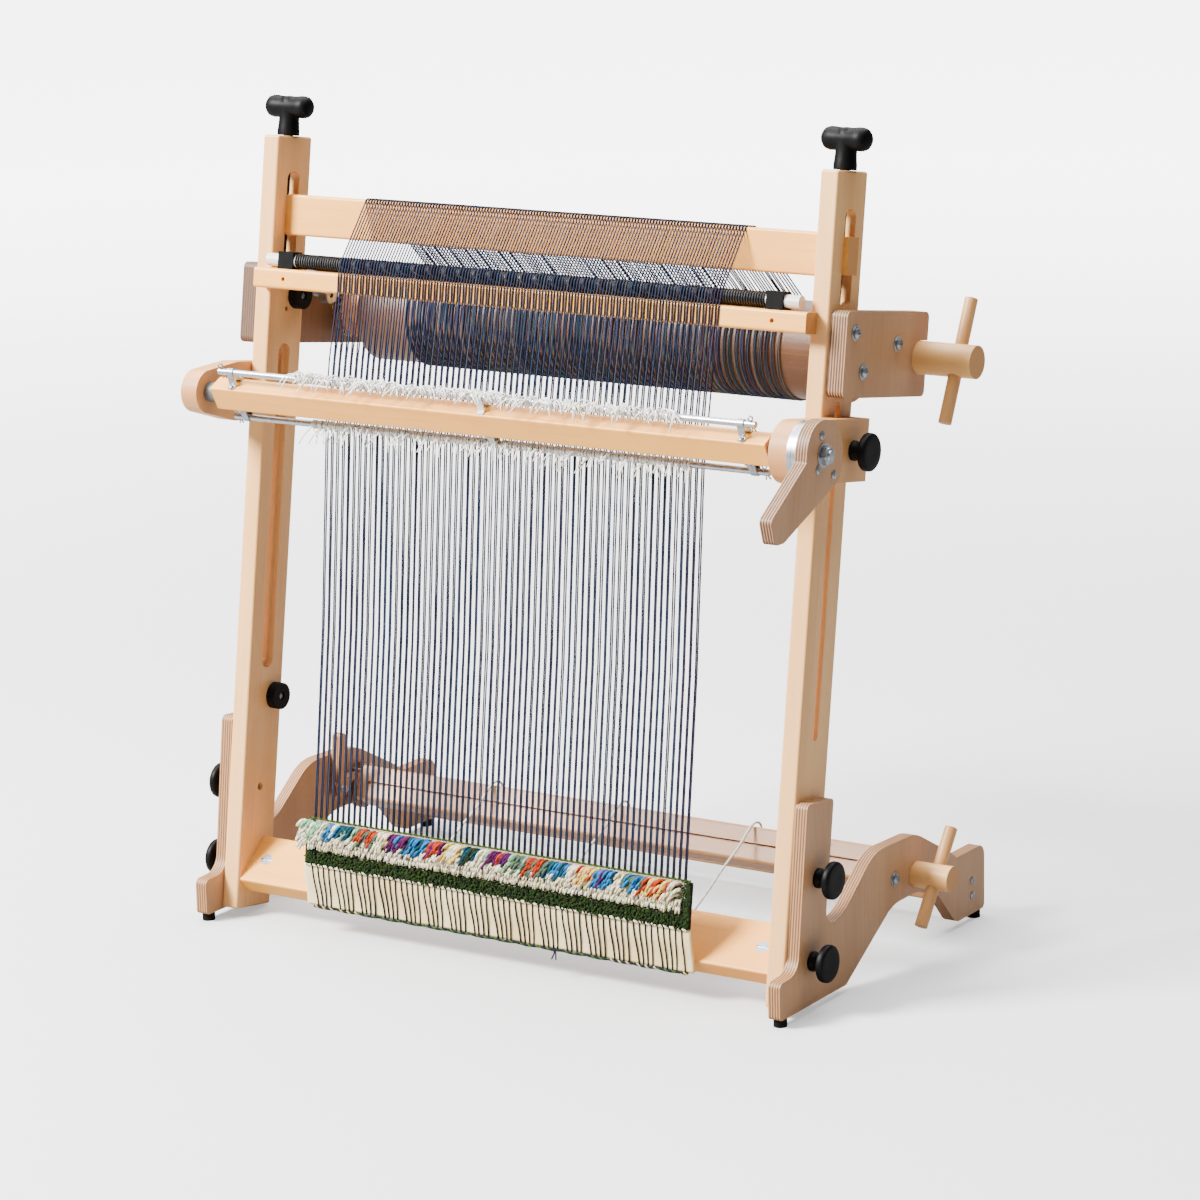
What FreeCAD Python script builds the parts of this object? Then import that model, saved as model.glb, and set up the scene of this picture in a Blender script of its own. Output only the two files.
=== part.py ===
import FreeCAD, Part
import Sketcher
import math
import os

# A table-top tapestry loom: two leaning uprights on plywood feet, a sliding tension beam,
# a warp beam and a cloth beam with ratchets, a shedding bar with a lever, and its warp.
# X runs across the loom, Y to its back, Z up. The leaning pieces are drawn in a frame of
# their own, whose second axis is the depth back from the uprights' front face and whose
# third axis is the height along the uprights. Both frames start midway between the uprights.

Vec = FreeCAD.Vector
Turn = FreeCAD.Rotation
Place = FreeCAD.Placement

# Driving sizes, in millimetres and degrees.
SIZES = {
    # Where the middle of the footprint lies, seen from the loom's own centre
    "origin_side": 19.32,
    "origin_depth": 150.59,
    # Uprights; each drop is a distance down from their top ends
    "loom_width": 654.8,
    "board": 19.05,
    "upright_depth": 55.5,
    "upright_height": 777,
    "upright_rounding": 2.5,
    "lean_angle": 8.825,
    "upright_rise": 10.46,
    "slot_line": 28,
    "slot_width": 8.6,
    "slot_low": 250,
    "slot_high_drop": 212,
    "groove_width": 18,
    "groove_overrun": 6,
    "groove_depth": 5.5,
    "tension_slot_low_drop": 125,
    "tension_slot_high_drop": 35,
    "tension_slot_corner": 8,
    "peg_hole_drop": 171.6,
    "peg_hole_radius": 2.5,
    "peg_hole_depth": 8,
    # Clearances
    "rest_gap": 0.3,
    "shaft_gap": 0.1,
    "screw_gap": 0.05,
    # Tension beam and its two T handles
    "beam_height": 40.5,
    "beam_drop": 77.8,
    "tenon_height": 35,
    "tenon_reach": 5,
    "beam_rounding": 2.5,
    "tension_rod_radius": 4.76,
    "tension_rod_foot": 4,
    "tension_nut_radius": 6,
    "tension_nut_length": 17,
    "tension_nut_inset": 1,
    "handle_stem_radius": 11,
    "handle_stem_height": 23,
    "handle_bar_radius": 11.2,
    "handle_bar_length": 53,
    "handle_bar_rounding": 7,
    "left_handle_turn": -3,
    "right_handle_turn": -12,
    # Spring bar, its rod, clips and spring; the bar ends this far inside the uprights' outer faces
    "spring_bar_size": 20,
    "spring_bar_inset": 12.4,
    "spring_bar_drop": 150.5,
    "spring_bar_rounding": 3,
    "spring_rod_radius": 6.3,
    "spring_rod_inset": 11,
    "clip_inset": 45,
    "clip_length": 18,
    "clip_width": 13,
    "clip_wall": 2.4,
    "spring_wire": 1.3,
    "spring_coil_radius": 7.3,
    "spring_turns": 98,
    "pin_hole_radius": 2.2,
    "pin_hole_depth": 10,
    # Plates that carry the warp beam
    "plate_thickness": 18,
    "plate_front": 3,
    "plate_drop": 207,
    "plate_height": 80,
    "plate_corner": 6,
    "right_plate_back": 160,
    "left_plate_back": 197,
    "upper_screw_depth": 19.4,
    "upper_screw_rise": 60,
    "lower_screw_depth": 38.3,
    "lower_screw_rise": 24.3,
    "screw_radius": 3,
    "screw_depth": 13,
    "screw_head_radius": 5.2,
    "screw_head_height": 3.6,
    "washer_radius": 7.5,
    "washer_height": 1.2,
    # Warp beam, with its gap to the uprights; its stub's reach is out of the right plate
    "warp_beam_depth": 147,
    "warp_beam_drop": 170,
    "warp_beam_radius": 49.5,
    "warp_beam_flat": 28.5,
    "warp_beam_flat_angle": 55,
    "warp_beam_corner": 8,
    "warp_beam_gap": 36.35,
    "stub_radius": 15.875,
    "stub_depth": 20,
    "warp_stub_reach": 60.6,
    "stub_overrun": 2,
    "peg_radius": 6.35,
    "warp_peg_length": 122,
    "warp_peg_inset": 20,
    "warp_peg_tilt": 17,
    "warp_layer": 2,
    "warp_left": -213,
    "warp_right": 224,
    "warp_winding_spare": 4,
    "warp_sheet": 1.2,
    "warp_openings": 12,
    "warp_band": 10,
    "warp_selvage": 7,
    # Ratchets and pawls; each pawl's place is from its beam, its tail's from its own bolt
    "ratchet_thickness": 11,
    "ratchet_teeth": 24,
    "tooth_depth": 3.6,
    "pawl_lead_angle": 34,
    "pawl_side_gap": 0.2,
    "pawl_head_radius": 8.5,
    "pawl_nose_run": 6,
    "pawl_nose_rise": 7,
    "pawl_throat_run": 8,
    "pawl_throat_drop": 0.3,
    "pawl_tail_half": 5.5,
    "pawl_tip_half": 4.5,
    "warp_ratchet_radius": 30,
    "warp_ratchet_inset": 9.4,
    "warp_pawl_ahead": 46,
    "warp_pawl_rise": 13,
    "warp_pawl_tail_ahead": 31,
    "warp_pawl_tail_rise": 23,
    "cloth_ratchet_radius": 24,
    "cloth_pawl_ahead": 43,
    "cloth_pawl_rise": 6.5,
    "cloth_pawl_tail_back": 4,
    "cloth_pawl_tail_rise": 59,
    "pawl_bolt_radius": 3.2,
    "lock_nut_height": 5,
    "pawl_bolt_reach": 19,
    "plain_bolt_reach": 8,
    # Feet and crossbar; each inset is forward from the heel
    "ply": 12.7,
    "foot_length": 403,
    "foot_front": -24.5,
    "foot_clearance": 8,
    "foot_bore_inset": 141.5,
    "foot_bore_height": 80.5,
    "rubber_radius": 6.5,
    "rubber_inset": 11,
    "crossbar_depth": 19.05,
    "crossbar_height": 32,
    "crossbar_inset": 16.5,
    "crossbar_low": 18,
    "crossbar_screw_rise": 9.2,
    "crossbar_screw_spacing": 15.2,
    "crossbar_screw_radius": 2.2,
    "crossbar_screw_length": 45,
    "crossbar_screw_head": 4.2,
    "crossbar_screw_head_height": 1.6,
    # Front beam with its barrel nuts
    "front_beam_width": 57,
    "front_beam_angle": 46,
    "front_bolt_height": 44.5,
    "upper_bolt_height": 123,
    "front_beam_rounding": 2,
    "barrel_nut_radius": 6.35,
    "barrel_nut_inset": 18,
    "barrel_nut_length": 16,
    "barrel_nut_slit": 1,
    # Hand knobs
    "knob_radius": 18,
    "knob_height": 20.6,
    "knob_head_height": 8,
    "knob_stem_radius": 9.5,
    "stud_radius": 3.97,
    "upper_stud_depth": 15,
    # Bumpers
    "bumper_radius": 13.5,
    "bumper_height": 10,
    "bumper_low_place": 215,
    "bumper_high_drop": 158,
    "bumper_depth": 43,
    "bumper_screw_radius": 1.8,
    "bumper_screw_head": 3.6,
    "bumper_screw_depth": 9,
    "bumper_screw_head_height": 2.2,
    "bumper_sink": 3,
    "bumper_sink_gap": 0.4,
    # Shedding device
    "shed_depth": -65,
    "shed_drop": 255,
    "shed_tilt": 35,
    "shed_bar_width": 26,
    "shed_bar_thickness": 20,
    "collar_length": 12.1,
    "shed_bar_rounding": 2,
    "bracket_height": 58.6,
    "bracket_nose_radius": 21.5,
    "bracket_shoulder": -22,
    "collar_radius": 10,
    "pivot_radius": 5,
    "pivot_hold": 30,
    "detent_radius": 30,
    "detent_thickness": 4.5,
    "detent_hole_radius": 1.6,
    "detent_ring_of_holes": 24,
    "detent_start_angle": 200,
    "lever_head_radius": 31,
    "lever_bolt_head_radius": 9,
    "lever_bolt_head_height": 6,
    "lever_washer_radius": 11.5,
    "lever_screw_radius": 2,
    "lever_screw_head": 4,
    "lever_screw_head_height": 1.8,
    "bracket_nut_length": 25,
    "bracket_nut_width": 17.2,
    "bracket_nut_thickness": 4.6,
    # Heddle rods and heddles
    "heddle_rod_radius": 3.175,
    "heddle_rod_offset": 27,
    "heddle_rod_inset": 10,
    "rod_clip_inset": 15,
    "middle_clip_place": 4,
    "rod_clip_width": 12,
    "rod_clip_radius": 5.5,
    "rod_clip_web": 4,
    "cotter_radius": 0.9,
    "cotter_length": 13,
    "cotter_inset": 4,
    "heddle_sheet": 1.6,
    "heddle_side_margin": 6,
    # Cloth beam, with its gaps to the feet; its stub's reach is out of the right foot
    "cloth_beam_width": 37,
    "cloth_beam_thickness": 32,
    "cloth_beam_face_angle": 30,
    "cloth_beam_left_gap": 13.1,
    "cloth_beam_right_gap": 7.4,
    "cloth_beam_rounding": 4,
    "cloth_groove_width": 3,
    "cloth_groove_depth": 4,
    "cloth_groove_inset": 8,
    "cloth_stub_radius": 12.7,
    "cloth_stub_reach": 39.9,
    "cloth_peg_inset": 18,
    "cloth_peg_length": 103,
    "cloth_peg_angle": 36.87,
    # Cords, end stick and woven sample
    "cord_radius": 1.25,
    "stick_radius": 4.75,
    "stick_depth": 105,
    "stick_height": 42,
    "stick_spare": 10,
    "sample_depth": -10,
    "sample_low": 62,
    "sample_high": 108,
    "sample_front": 10,
    "sample_back": 1.5,
    "sample_spare": 3,
    "strip_thickness": 1.8,
}

doc = FreeCAD.newDocument("tapestry_loom")
sizes = doc.addObject("Spreadsheet::Sheet", "sizes")
for row, (alias, value) in enumerate(SIZES.items(), 1):
    sizes.set("A%d" % row, alias)
    sizes.set("B%d" % row, str(value))
    sizes.setAlias("B%d" % row, alias)
doc.recompute()

LEFT = -1
RIGHT = 1
SIDES = {"left": LEFT, "right": RIGHT}
parts = {}


def size(name):
    """Return a driving size from the sheet."""
    return float(getattr(sizes, name))


def bind(item, prop, value):
    """Bind a property to a cell by its alias, or set a worked-out number."""
    if isinstance(value, str):
        item.setExpression(prop, "sizes." + value)
    else:
        setattr(item, prop, value)


def keep(name, item):
    """Give a finished sub-part its name and list it."""
    item.Label = name
    parts[name] = item
    return item


shift = Vec(-size("origin_side"), -size("origin_depth"), 0)
level = Place(shift, Turn())
leaning = Place(shift + Vec(0, 0, size("upright_rise")), Turn(Vec(1, 0, 0), -size("lean_angle")))

half_width = size("loom_width") / 2
inner_face = half_width - size("board")
ply_face = half_width + size("ply")
plate_face = half_width + size("plate_thickness")
bracket_face = half_width + size("board")
upright_middle = half_width - size("board") / 2
upright_top = size("upright_height")
slot_line = size("slot_line")
rest_gap = size("rest_gap")
shaft_gap = size("shaft_gap")
screw_gap = size("screw_gap")


# Outlines in the side view, as lines and arcs.

def corner_arc(before, corner, after, radius):
    """Return the start, middle and end of the arc that rounds a corner."""
    to_before = (before - corner).normalize()
    to_after = (after - corner).normalize()
    half = to_before.getAngle(to_after) / 2
    reach = radius / math.tan(half)
    centre = corner + (to_before + to_after).normalize() * (radius / math.sin(half))
    middle = centre + (corner - centre).normalize() * radius
    return corner + to_before * reach, middle, corner + to_after * reach


def rounded(points):
    """Return the edges of a closed outline given as (depth, height, corner radius)."""
    corners = [Vec(p[0], p[1], 0) for p in points]
    count = len(corners)
    ends = []
    for i, (corner, point) in enumerate(zip(corners, points)):
        if point[2] > 0:
            ends.append(corner_arc(corners[i - 1], corner, corners[(i + 1) % count], point[2]))
        else:
            ends.append((corner, None, corner))
    edges = []
    for i, (start, middle, end) in enumerate(ends):
        if middle is not None:
            edges.append(Part.Arc(start, middle, end))
        following = ends[(i + 1) % count][0]
        if end.distanceToPoint(following) > 1e-6:
            edges.append(Part.LineSegment(end, following))
    return edges


def turned(points, angle, centre):
    """Turn and move (along, up, radius) points by an angle about the outline's own centre."""
    c = math.cos(math.radians(angle))
    s = math.sin(math.radians(angle))
    return [(centre[0] + c * x - s * y, centre[1] + s * x + c * y, r) for x, y, r in points]


def block(width, height, radius):
    """Return the corners of a centred rectangle."""
    x = width / 2
    y = height / 2
    return [(-x, -y, radius), (x, -y, radius), (x, y, radius), (-x, y, radius)]


def ratchet_outline(centre, radius, phase):
    """Return the edges of a saw-toothed wheel."""
    count = int(size("ratchet_teeth"))
    step = 2 * math.pi / count
    root = radius - size("tooth_depth")
    points = []
    for i in range(count):
        angle = phase + i * step
        points.append((centre[0] + radius * math.cos(angle), centre[1] + radius * math.sin(angle), 0))
        points.append((centre[0] + root * math.cos(angle), centre[1] + root * math.sin(angle), 0))
    return rounded(points)


# Bodies drawn in the side view and padded across the loom.

def plane_of(body, role):
    """Return one of a body's own origin planes."""
    return next(f for f in body.Origin.OriginFeatures if f.Role == role)


def sketch_in(body, role, offset):
    """Return an empty sketch on an origin plane of a body, moved along its normal."""
    sketch = body.newObject("Sketcher::SketchObject", body.Name + "_sketch")
    sketch.AttachmentSupport = [(plane_of(body, role), "")]
    sketch.MapMode = "FlatFace"
    sketch.AttachmentOffset = Place(Vec(0, 0, offset), Turn())
    return sketch


def draw_edges(sketch, edges):
    """Put a worked-out outline in a sketch."""
    for edge in edges:
        sketch.addGeometry(edge, False)


def draw_circle(sketch, x, y, radius):
    """Put a circle in a sketch, its radius bound to a cell where an alias is given."""
    value = size(radius) if isinstance(radius, str) else radius
    index = sketch.addGeometry(Part.Circle(Vec(x, y, 0), Vec(0, 0, 1), value), False)
    held = sketch.addConstraint(Sketcher.Constraint("Radius", index, value))
    if isinstance(radius, str):
        sketch.setExpression("Constraints[%d]" % held, "sizes." + radius)
    sketch.addConstraint(Sketcher.Constraint("DistanceX", -1, 1, index, 3, x))
    sketch.addConstraint(Sketcher.Constraint("DistanceY", -1, 1, index, 3, y))


def draw_rectangle(sketch, x, y, width, height):
    """Put a rectangle in a sketch from its low corner, with sizes bound to cells."""
    w = size(width) if isinstance(width, str) else width
    t = size(height) if isinstance(height, str) else height
    corners = [Vec(x, y, 0), Vec(x + w, y, 0), Vec(x + w, y + t, 0), Vec(x, y + t, 0)]
    first = None
    for i in range(4):
        index = sketch.addGeometry(Part.LineSegment(corners[i], corners[(i + 1) % 4]), False)
        first = index if first is None else first
    for i in range(4):
        sketch.addConstraint(Sketcher.Constraint("Coincident", first + i, 2, first + (i + 1) % 4, 1))
    for i in (0, 2):
        sketch.addConstraint(Sketcher.Constraint("Horizontal", first + i))
        sketch.addConstraint(Sketcher.Constraint("Vertical", first + i + 1))
    across = sketch.addConstraint(Sketcher.Constraint("DistanceX", first, 1, first, 2, w))
    upward = sketch.addConstraint(Sketcher.Constraint("DistanceY", first + 1, 1, first + 1, 2, t))
    sketch.addConstraint(Sketcher.Constraint("DistanceX", -1, 1, first, 1, x))
    sketch.addConstraint(Sketcher.Constraint("DistanceY", -1, 1, first, 1, y))
    for held, value in ((across, width), (upward, height)):
        if isinstance(value, str):
            sketch.setExpression("Constraints[%d]" % held, "sizes." + value)


def pad(body, sketch, length):
    """Pad a sketch along its normal."""
    feature = body.newObject("PartDesign::Pad", body.Name + "_pad")
    feature.Profile = sketch
    bind(feature, "Length", length)
    sketch.Visibility = False
    return feature


def pocket(body, sketch, length=None, forward=False):
    """Cut a sketch through everything, or to a depth, against or along its normal."""
    feature = body.newObject("PartDesign::Pocket", body.Name + "_pocket")
    feature.Profile = sketch
    feature.Reversed = forward
    if length is None:
        feature.Type = "ThroughAll"
    else:
        bind(feature, "Length", length)
    sketch.Visibility = False
    return feature


def side_body(name, frame, start, thickness, edges=None, rectangle=None, circle=None):
    """Start a body from an outline in the side view, padded across the loom."""
    body = doc.addObject("PartDesign::Body", name)
    body.Placement = frame
    sketch = sketch_in(body, "YZ_Plane", start)
    if edges:
        draw_edges(sketch, edges)
    if rectangle:
        draw_rectangle(sketch, *rectangle)
    if circle:
        draw_circle(sketch, *circle)
    pad(body, sketch, thickness)
    return keep(name, body)


def round_edges(body, radius, chosen=lambda edge: True):
    """Round the edges of a body's last feature that a test chooses."""
    doc.recompute()
    base = body.Tip
    names = ["Edge%d" % (i + 1) for i, edge in enumerate(base.Shape.Edges) if chosen(edge)]
    feature = body.newObject("PartDesign::Fillet", body.Name + "_rounding")
    feature.Base = (base, names)
    bind(feature, "Radius", radius)
    return feature


def runs_across(edge):
    """Tell whether a straight edge runs across the loom."""
    direction = edge.tangentAt(edge.FirstParameter)
    return isinstance(edge.Curve, Part.Line) and abs(direction.x) > 0.99


def bore(body, x, holes, length=None, forward=False):
    """Cut round holes across the loom, given as (depth, height, radius), from a plane at x."""
    for depth, height, radius in holes:
        sketch = sketch_in(body, "YZ_Plane", x)
        draw_circle(sketch, depth, height, radius)
        pocket(body, sketch, length, forward)


def span(side, near, far):
    """Return where a piece starts across the loom, from its near and far distance."""
    return near if side == RIGHT else -far


def bore_from(body, side, face, holes, length, outward=False):
    """Cut blind holes that enter at a face of one side, towards the middle or outwards."""
    forward = (side == LEFT) != outward
    bore(body, side * face, holes, length, forward)


# Round and boxed pieces from primitives.

def cylinder(radius, height, point, direction, frame):
    """Return a cylinder from a point along a direction of a frame."""
    item = doc.addObject("Part::Cylinder", "round")
    bind(item, "Radius", radius)
    bind(item, "Height", height)
    item.Placement = frame.multiply(Place(point, Turn(Vec(0, 0, 1), direction)))
    return item


def box(length, width, height, point, frame):
    """Return a box from its low corner in a frame."""
    item = doc.addObject("Part::Box", "block")
    bind(item, "Length", length)
    bind(item, "Width", width)
    bind(item, "Height", height)
    item.Placement = frame.multiply(Place(point, Turn()))
    return item


def fused(pieces):
    """Return several pieces as one solid."""
    item = doc.addObject("Part::MultiFuse", "joined")
    item.Shapes = pieces
    return item


def less(base, tools):
    """Return a piece with others cut out of it."""
    item = doc.addObject("Part::Cut", "less")
    item.Base = base
    item.Tool = tools[0] if len(tools) == 1 else fused(tools)
    return item


def together(pieces):
    """Return separate solids as one group."""
    item = doc.addObject("Part::Compound", "group")
    item.Links = pieces
    return item


def dowel(start, end, depth, height, radius, frame):
    """Return a round rod across the loom."""
    return cylinder(radius, end - start, Vec(start, depth, height), Vec(1, 0, 0), frame)


def screw(face, side, depth, height, shank, head, head_height, length, frame, washer=None):
    """Return a screw that enters a face of one side towards the middle."""
    into = Vec(-side, 0, 0)
    at = Vec(side * face, depth, height)
    out = -into
    pieces = []
    if washer:
        pieces.append(cylinder(washer, "washer_height", at, out, frame))
        at = at + out * size("washer_height")
        length = length + size("washer_height")
    pieces.append(cylinder(head, head_height, at, out, frame))
    pieces.append(cylinder(shank, length, at, into, frame))
    return fused(pieces)


# Curved tubes and sheets.

def arc_from(start, control, end):
    """Return the arc from start to end whose tangents meet at control."""
    chord = (start + end) * 0.5
    half = start.distanceToPoint(end) / 2
    reach = start.distanceToPoint(control)
    angle = math.acos(min(1.0, half / reach))
    sagitta = half * math.tan(angle / 2)
    middle = chord + (control - chord).normalize() * sagitta
    return Part.Arc(start, middle, end).toShape()


def biarc(start, start_way, end, end_way):
    """Return two arcs from start to end that leave and arrive along given directions."""
    gap = end - start
    ways = start_way + end_way
    spread = 2 * (1 - start_way.dot(end_way))
    along = gap.dot(ways)
    reach = (math.sqrt(along * along + spread * gap.dot(gap)) - along) / spread
    meet = (start + end + (start_way - end_way) * reach) * 0.5
    return [arc_from(start, start + start_way * reach, meet), arc_from(meet, end - end_way * reach, end)]


def tube(edges, radius):
    """Return one unbroken round tube along edges that join smoothly."""
    path = Part.Wire(edges)
    start = edges[0].valueAt(edges[0].FirstParameter)
    way = edges[0].tangentAt(edges[0].FirstParameter)
    ring = Part.Wire([Part.makeCircle(radius, start, way)])
    solid = path.makePipeShell([ring], True, False)
    return solid


def cord_edges(points):
    """Return straight runs joined by tangent arcs as large as the runs allow."""
    edges = []
    last = points[0]
    radii = []
    for i in range(1, len(points) - 1):
        before = points[i] - points[i - 1]
        after = points[i + 1] - points[i]
        turn = before.getAngle(after)
        radius = 0.45 * min(before.Length, after.Length) / math.tan(turn / 2)
        radii.append(round(radius, 1))
        start, middle, end = corner_arc(points[i - 1], points[i], points[i + 1], radius)
        edges.append(Part.LineSegment(last, start).toShape())
        edges.append(Part.Arc(start, middle, end).toShape())
        last = end
    edges.append(Part.LineSegment(last, points[-1]).toShape())
    return edges, radii


def solid_feature(name, shape, frame):
    """Store a worked-out shape under its name."""
    item = doc.addObject("Part::Feature", name)
    item.Shape = shape
    item.Placement = frame
    return keep(name, item)


def strip(name, frame, start, width, line, thickness):
    """Return a sheet across the loom that follows a line in the side view."""
    front = []
    back = []
    for i, point in enumerate(line):
        before = line[max(i - 1, 0)]
        after = line[min(i + 1, len(line) - 1)]
        into = (Vec(*point) - Vec(*before)).normalize() if i else (Vec(*after) - Vec(*point)).normalize()
        onward = (Vec(*after) - Vec(*point)).normalize() if i < len(line) - 1 else into
        mean = (into + onward).normalize()
        stretch = 1 / max(0.5, mean.dot(into))
        normal = Vec(-mean.y, mean.x, 0) * (thickness / 2 * stretch)
        front.append(Vec(*point) + normal)
        back.append(Vec(*point) - normal)
    outline = [(p.x, p.y, 0) for p in front + back[::-1]]
    return side_body(name, frame, start, width, edges=rounded(outline))


# Uprights

tension_clear = size("board") / 2 + rest_gap
slot_high = upright_top - size("slot_high_drop")
tension_slot_low = upright_top - size("tension_slot_low_drop")
tension_slot_high = upright_top - size("tension_slot_high_drop")
plate_low = upright_top - size("plate_drop")
plate_screw_places = [(size(name + "_screw_depth"), plate_low + size(name + "_screw_rise"))
                      for name in ("upper", "lower")]
bumper_heights = (size("bumper_low_place"), upright_top - size("bumper_high_drop"))


def slot_outline(half, low, high, radius):
    """Return the edges of an upright slot with rounded ends, centred on the slots' line."""
    return rounded([(slot_line - half, low, radius), (slot_line + half, low, radius),
                    (slot_line + half, high, radius), (slot_line - half, high, radius)])


def upright(name, side):
    """Make one leaning upright with its slots, groove and holes."""
    start = span(side, inner_face, half_width)
    body = side_body(name + "_upright", leaning, start, "board",
                     rectangle=(0, 0, "upright_depth", "upright_height"))
    round_edges(body, "upright_rounding")
    far = start + size("board")
    sketch = sketch_in(body, "YZ_Plane", far)
    draw_edges(sketch, slot_outline(tension_clear, tension_slot_low, tension_slot_high,
                                    size("tension_slot_corner")))
    pocket(body, sketch)
    sketch = sketch_in(body, "YZ_Plane", far)
    half = size("slot_width") / 2
    draw_edges(sketch, slot_outline(half, size("slot_low"), slot_high, half))
    pocket(body, sketch)
    sketch = sketch_in(body, "YZ_Plane", side * inner_face)
    low = size("slot_low") - size("groove_overrun")
    high = slot_high + size("groove_overrun")
    half = size("groove_width") / 2
    draw_edges(sketch, slot_outline(half, low, high, half))
    pocket(body, sketch, "groove_depth", side == RIGHT)
    sketch = sketch_in(body, "XY_Plane", upright_top)
    draw_circle(sketch, side * upright_middle, slot_line, size("tension_rod_radius") + rest_gap)
    pocket(body, sketch, size("tension_slot_high_drop") + 1)
    stud_hole = size("stud_radius") + shaft_gap
    bolts = [(slot_line, size(height), stud_hole) for height in ("front_bolt_height", "upper_bolt_height")]
    bore(body, far, bolts)
    screws = [(d, u, size("screw_radius") + screw_gap) for d, u in plate_screw_places]
    bore_from(body, side, half_width, screws, size("screw_depth") + 1)
    peg = [(slot_line, upright_top - size("peg_hole_drop"), "peg_hole_radius")]
    bore_from(body, side, inner_face, peg, "peg_hole_depth", outward=True)
    bumpers = [(size("bumper_depth"), height, size("bumper_screw_radius") + screw_gap)
               for height in bumper_heights]
    bore_from(body, side, inner_face, bumpers, size("bumper_screw_depth") + 1, outward=True)


for name, side in SIDES.items():
    upright(name, side)

# Front beam between the uprights, set on edge, with slotted barrel nuts in its upper face

beam_end = inner_face
front_centre = (slot_line, size("front_bolt_height"))
front_outline = turned(block(size("front_beam_width"), size("board"), size("front_beam_rounding")),
                       size("front_beam_angle"), front_centre)
front_beam = side_body("front_beam", leaning, -beam_end, 2 * beam_end, edges=rounded(front_outline))
nut_place = inner_face - size("barrel_nut_inset")
stud_hole = size("stud_radius") + shaft_gap
bolt_depth = size("barrel_nut_inset") + size("barrel_nut_radius") + 2
for side in (LEFT, RIGHT):
    bore_from(front_beam, side, inner_face, [front_centre + (stud_hole,)], bolt_depth)
face_normal = Vec(0, -math.sin(math.radians(size("front_beam_angle"))),
                  math.cos(math.radians(size("front_beam_angle"))))
face_point = Vec(0, front_centre[0], front_centre[1]) + face_normal * (size("board") / 2)


def barrel(radius, length, side):
    """Return a cylinder from the front beam's upper face inwards."""
    return cylinder(radius, length, face_point + Vec(side * nut_place, 0, 0), -face_normal, leaning)


front_body = parts.pop("front_beam")
nut_bores = [barrel(size("barrel_nut_radius") + screw_gap, size("barrel_nut_length") + 0.2, side)
             for side in (LEFT, RIGHT)]
keep("front_beam", less(front_body, nut_bores))
nuts = []
for side in (LEFT, RIGHT):
    across = size("barrel_nut_length")
    through = dowel(side * nut_place - across, side * nut_place + across, *front_centre, stud_hole, leaning)
    slit_start = face_point + Vec(side * nut_place - size("barrel_nut_radius"), 0, 0)
    slit = cylinder("barrel_nut_slit", 2 * size("barrel_nut_radius"), slit_start, Vec(1, 0, 0), leaning)
    nuts.append(less(barrel("barrel_nut_radius", "barrel_nut_length", side), [through, slit]))
keep("barrel_nuts", together(nuts))

# Feet of plywood, with the arch, the step for the crossbar and the cloth beam's bore

toe = size("foot_front")
sole = size("foot_clearance")
heel = toe + size("foot_length")
foot_outline = [
    (toe, sole, 4), (toe, 44, 6), (9, 45.5, 18), (29.6, 202.4, 6), (78.4, 197, 5), (59.5, 72, 14),
    (98, 82, 50), (155, 124.5, 55), (heel - 142.5, 121.5, 60), (heel - 78.5, 87.5, 60),
    (heel - 58.1, 75, 1), (heel, 74.5, 12), (heel, sole, 5), (heel - 60.5, sole, 20),
    (heel - 95.5, 46, 20), (heel - 138.5, 62, 50), (heel - 188.5, 62, 55), (99, sole, 8),
]
crossbar_screw_low = size("crossbar_low") + size("crossbar_screw_rise")
crossbar_screw_heights = [crossbar_screw_low, crossbar_screw_low + size("crossbar_screw_spacing")]
crossbar_back = heel - size("crossbar_inset")
crossbar_middle = crossbar_back - size("crossbar_depth") / 2
cloth_axis = (heel - size("foot_bore_inset"), size("foot_bore_height"))
cloth_pawl_axis = (cloth_axis[0] - size("cloth_pawl_ahead"), cloth_axis[1] + size("cloth_pawl_rise"))


def foot(name, side):
    """Make one foot."""
    start = span(side, half_width, ply_face)
    body = side_body(name + "_foot", level, start, "ply", edges=rounded(foot_outline))
    far = start + size("ply")
    holes = [cloth_axis + (size("cloth_stub_radius") + shaft_gap,),
             cloth_pawl_axis + (size("pawl_bolt_radius") + screw_gap,)]
    for height in ("front_bolt_height", "upper_bolt_height"):
        at = leaning.multVec(Vec(0, slot_line, size(height))) - shift
        holes.append((at.y, at.z, stud_hole))
    screw_hole = size("crossbar_screw_radius") + screw_gap
    holes += [(crossbar_middle, z, screw_hole) for z in crossbar_screw_heights]
    bore(body, far, holes)


for name, side in SIDES.items():
    foot(name, side)

rubber = []
for side in (LEFT, RIGHT):
    for depth in (toe + size("rubber_inset"), heel - size("rubber_inset")):
        middle = side * (half_width + size("ply") / 2)
        rubber.append(cylinder("rubber_radius", "foot_clearance", Vec(middle, depth, 0), Vec(0, 0, 1), level))
keep("rubber_feet", together(rubber))

crossbar = side_body("rear_crossbar", level, -half_width, "loom_width",
                     rectangle=(crossbar_back - size("crossbar_depth"), size("crossbar_low"),
                                "crossbar_depth", "crossbar_height"))
round_edges(crossbar, "upright_rounding", runs_across)
screw_run = size("crossbar_screw_length") - size("ply")
for side in (LEFT, RIGHT):
    screw_hole = size("crossbar_screw_radius") + screw_gap
    holes = [(crossbar_middle, z, screw_hole) for z in crossbar_screw_heights]
    bore_from(crossbar, side, half_width, holes, screw_run + 1)
wood_screws = [
    screw(ply_face, side, crossbar_middle, z, "crossbar_screw_radius", "crossbar_screw_head",
          "crossbar_screw_head_height", size("crossbar_screw_length"), level)
    for side in (LEFT, RIGHT) for z in crossbar_screw_heights]

# Hand knobs with their studs


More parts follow.
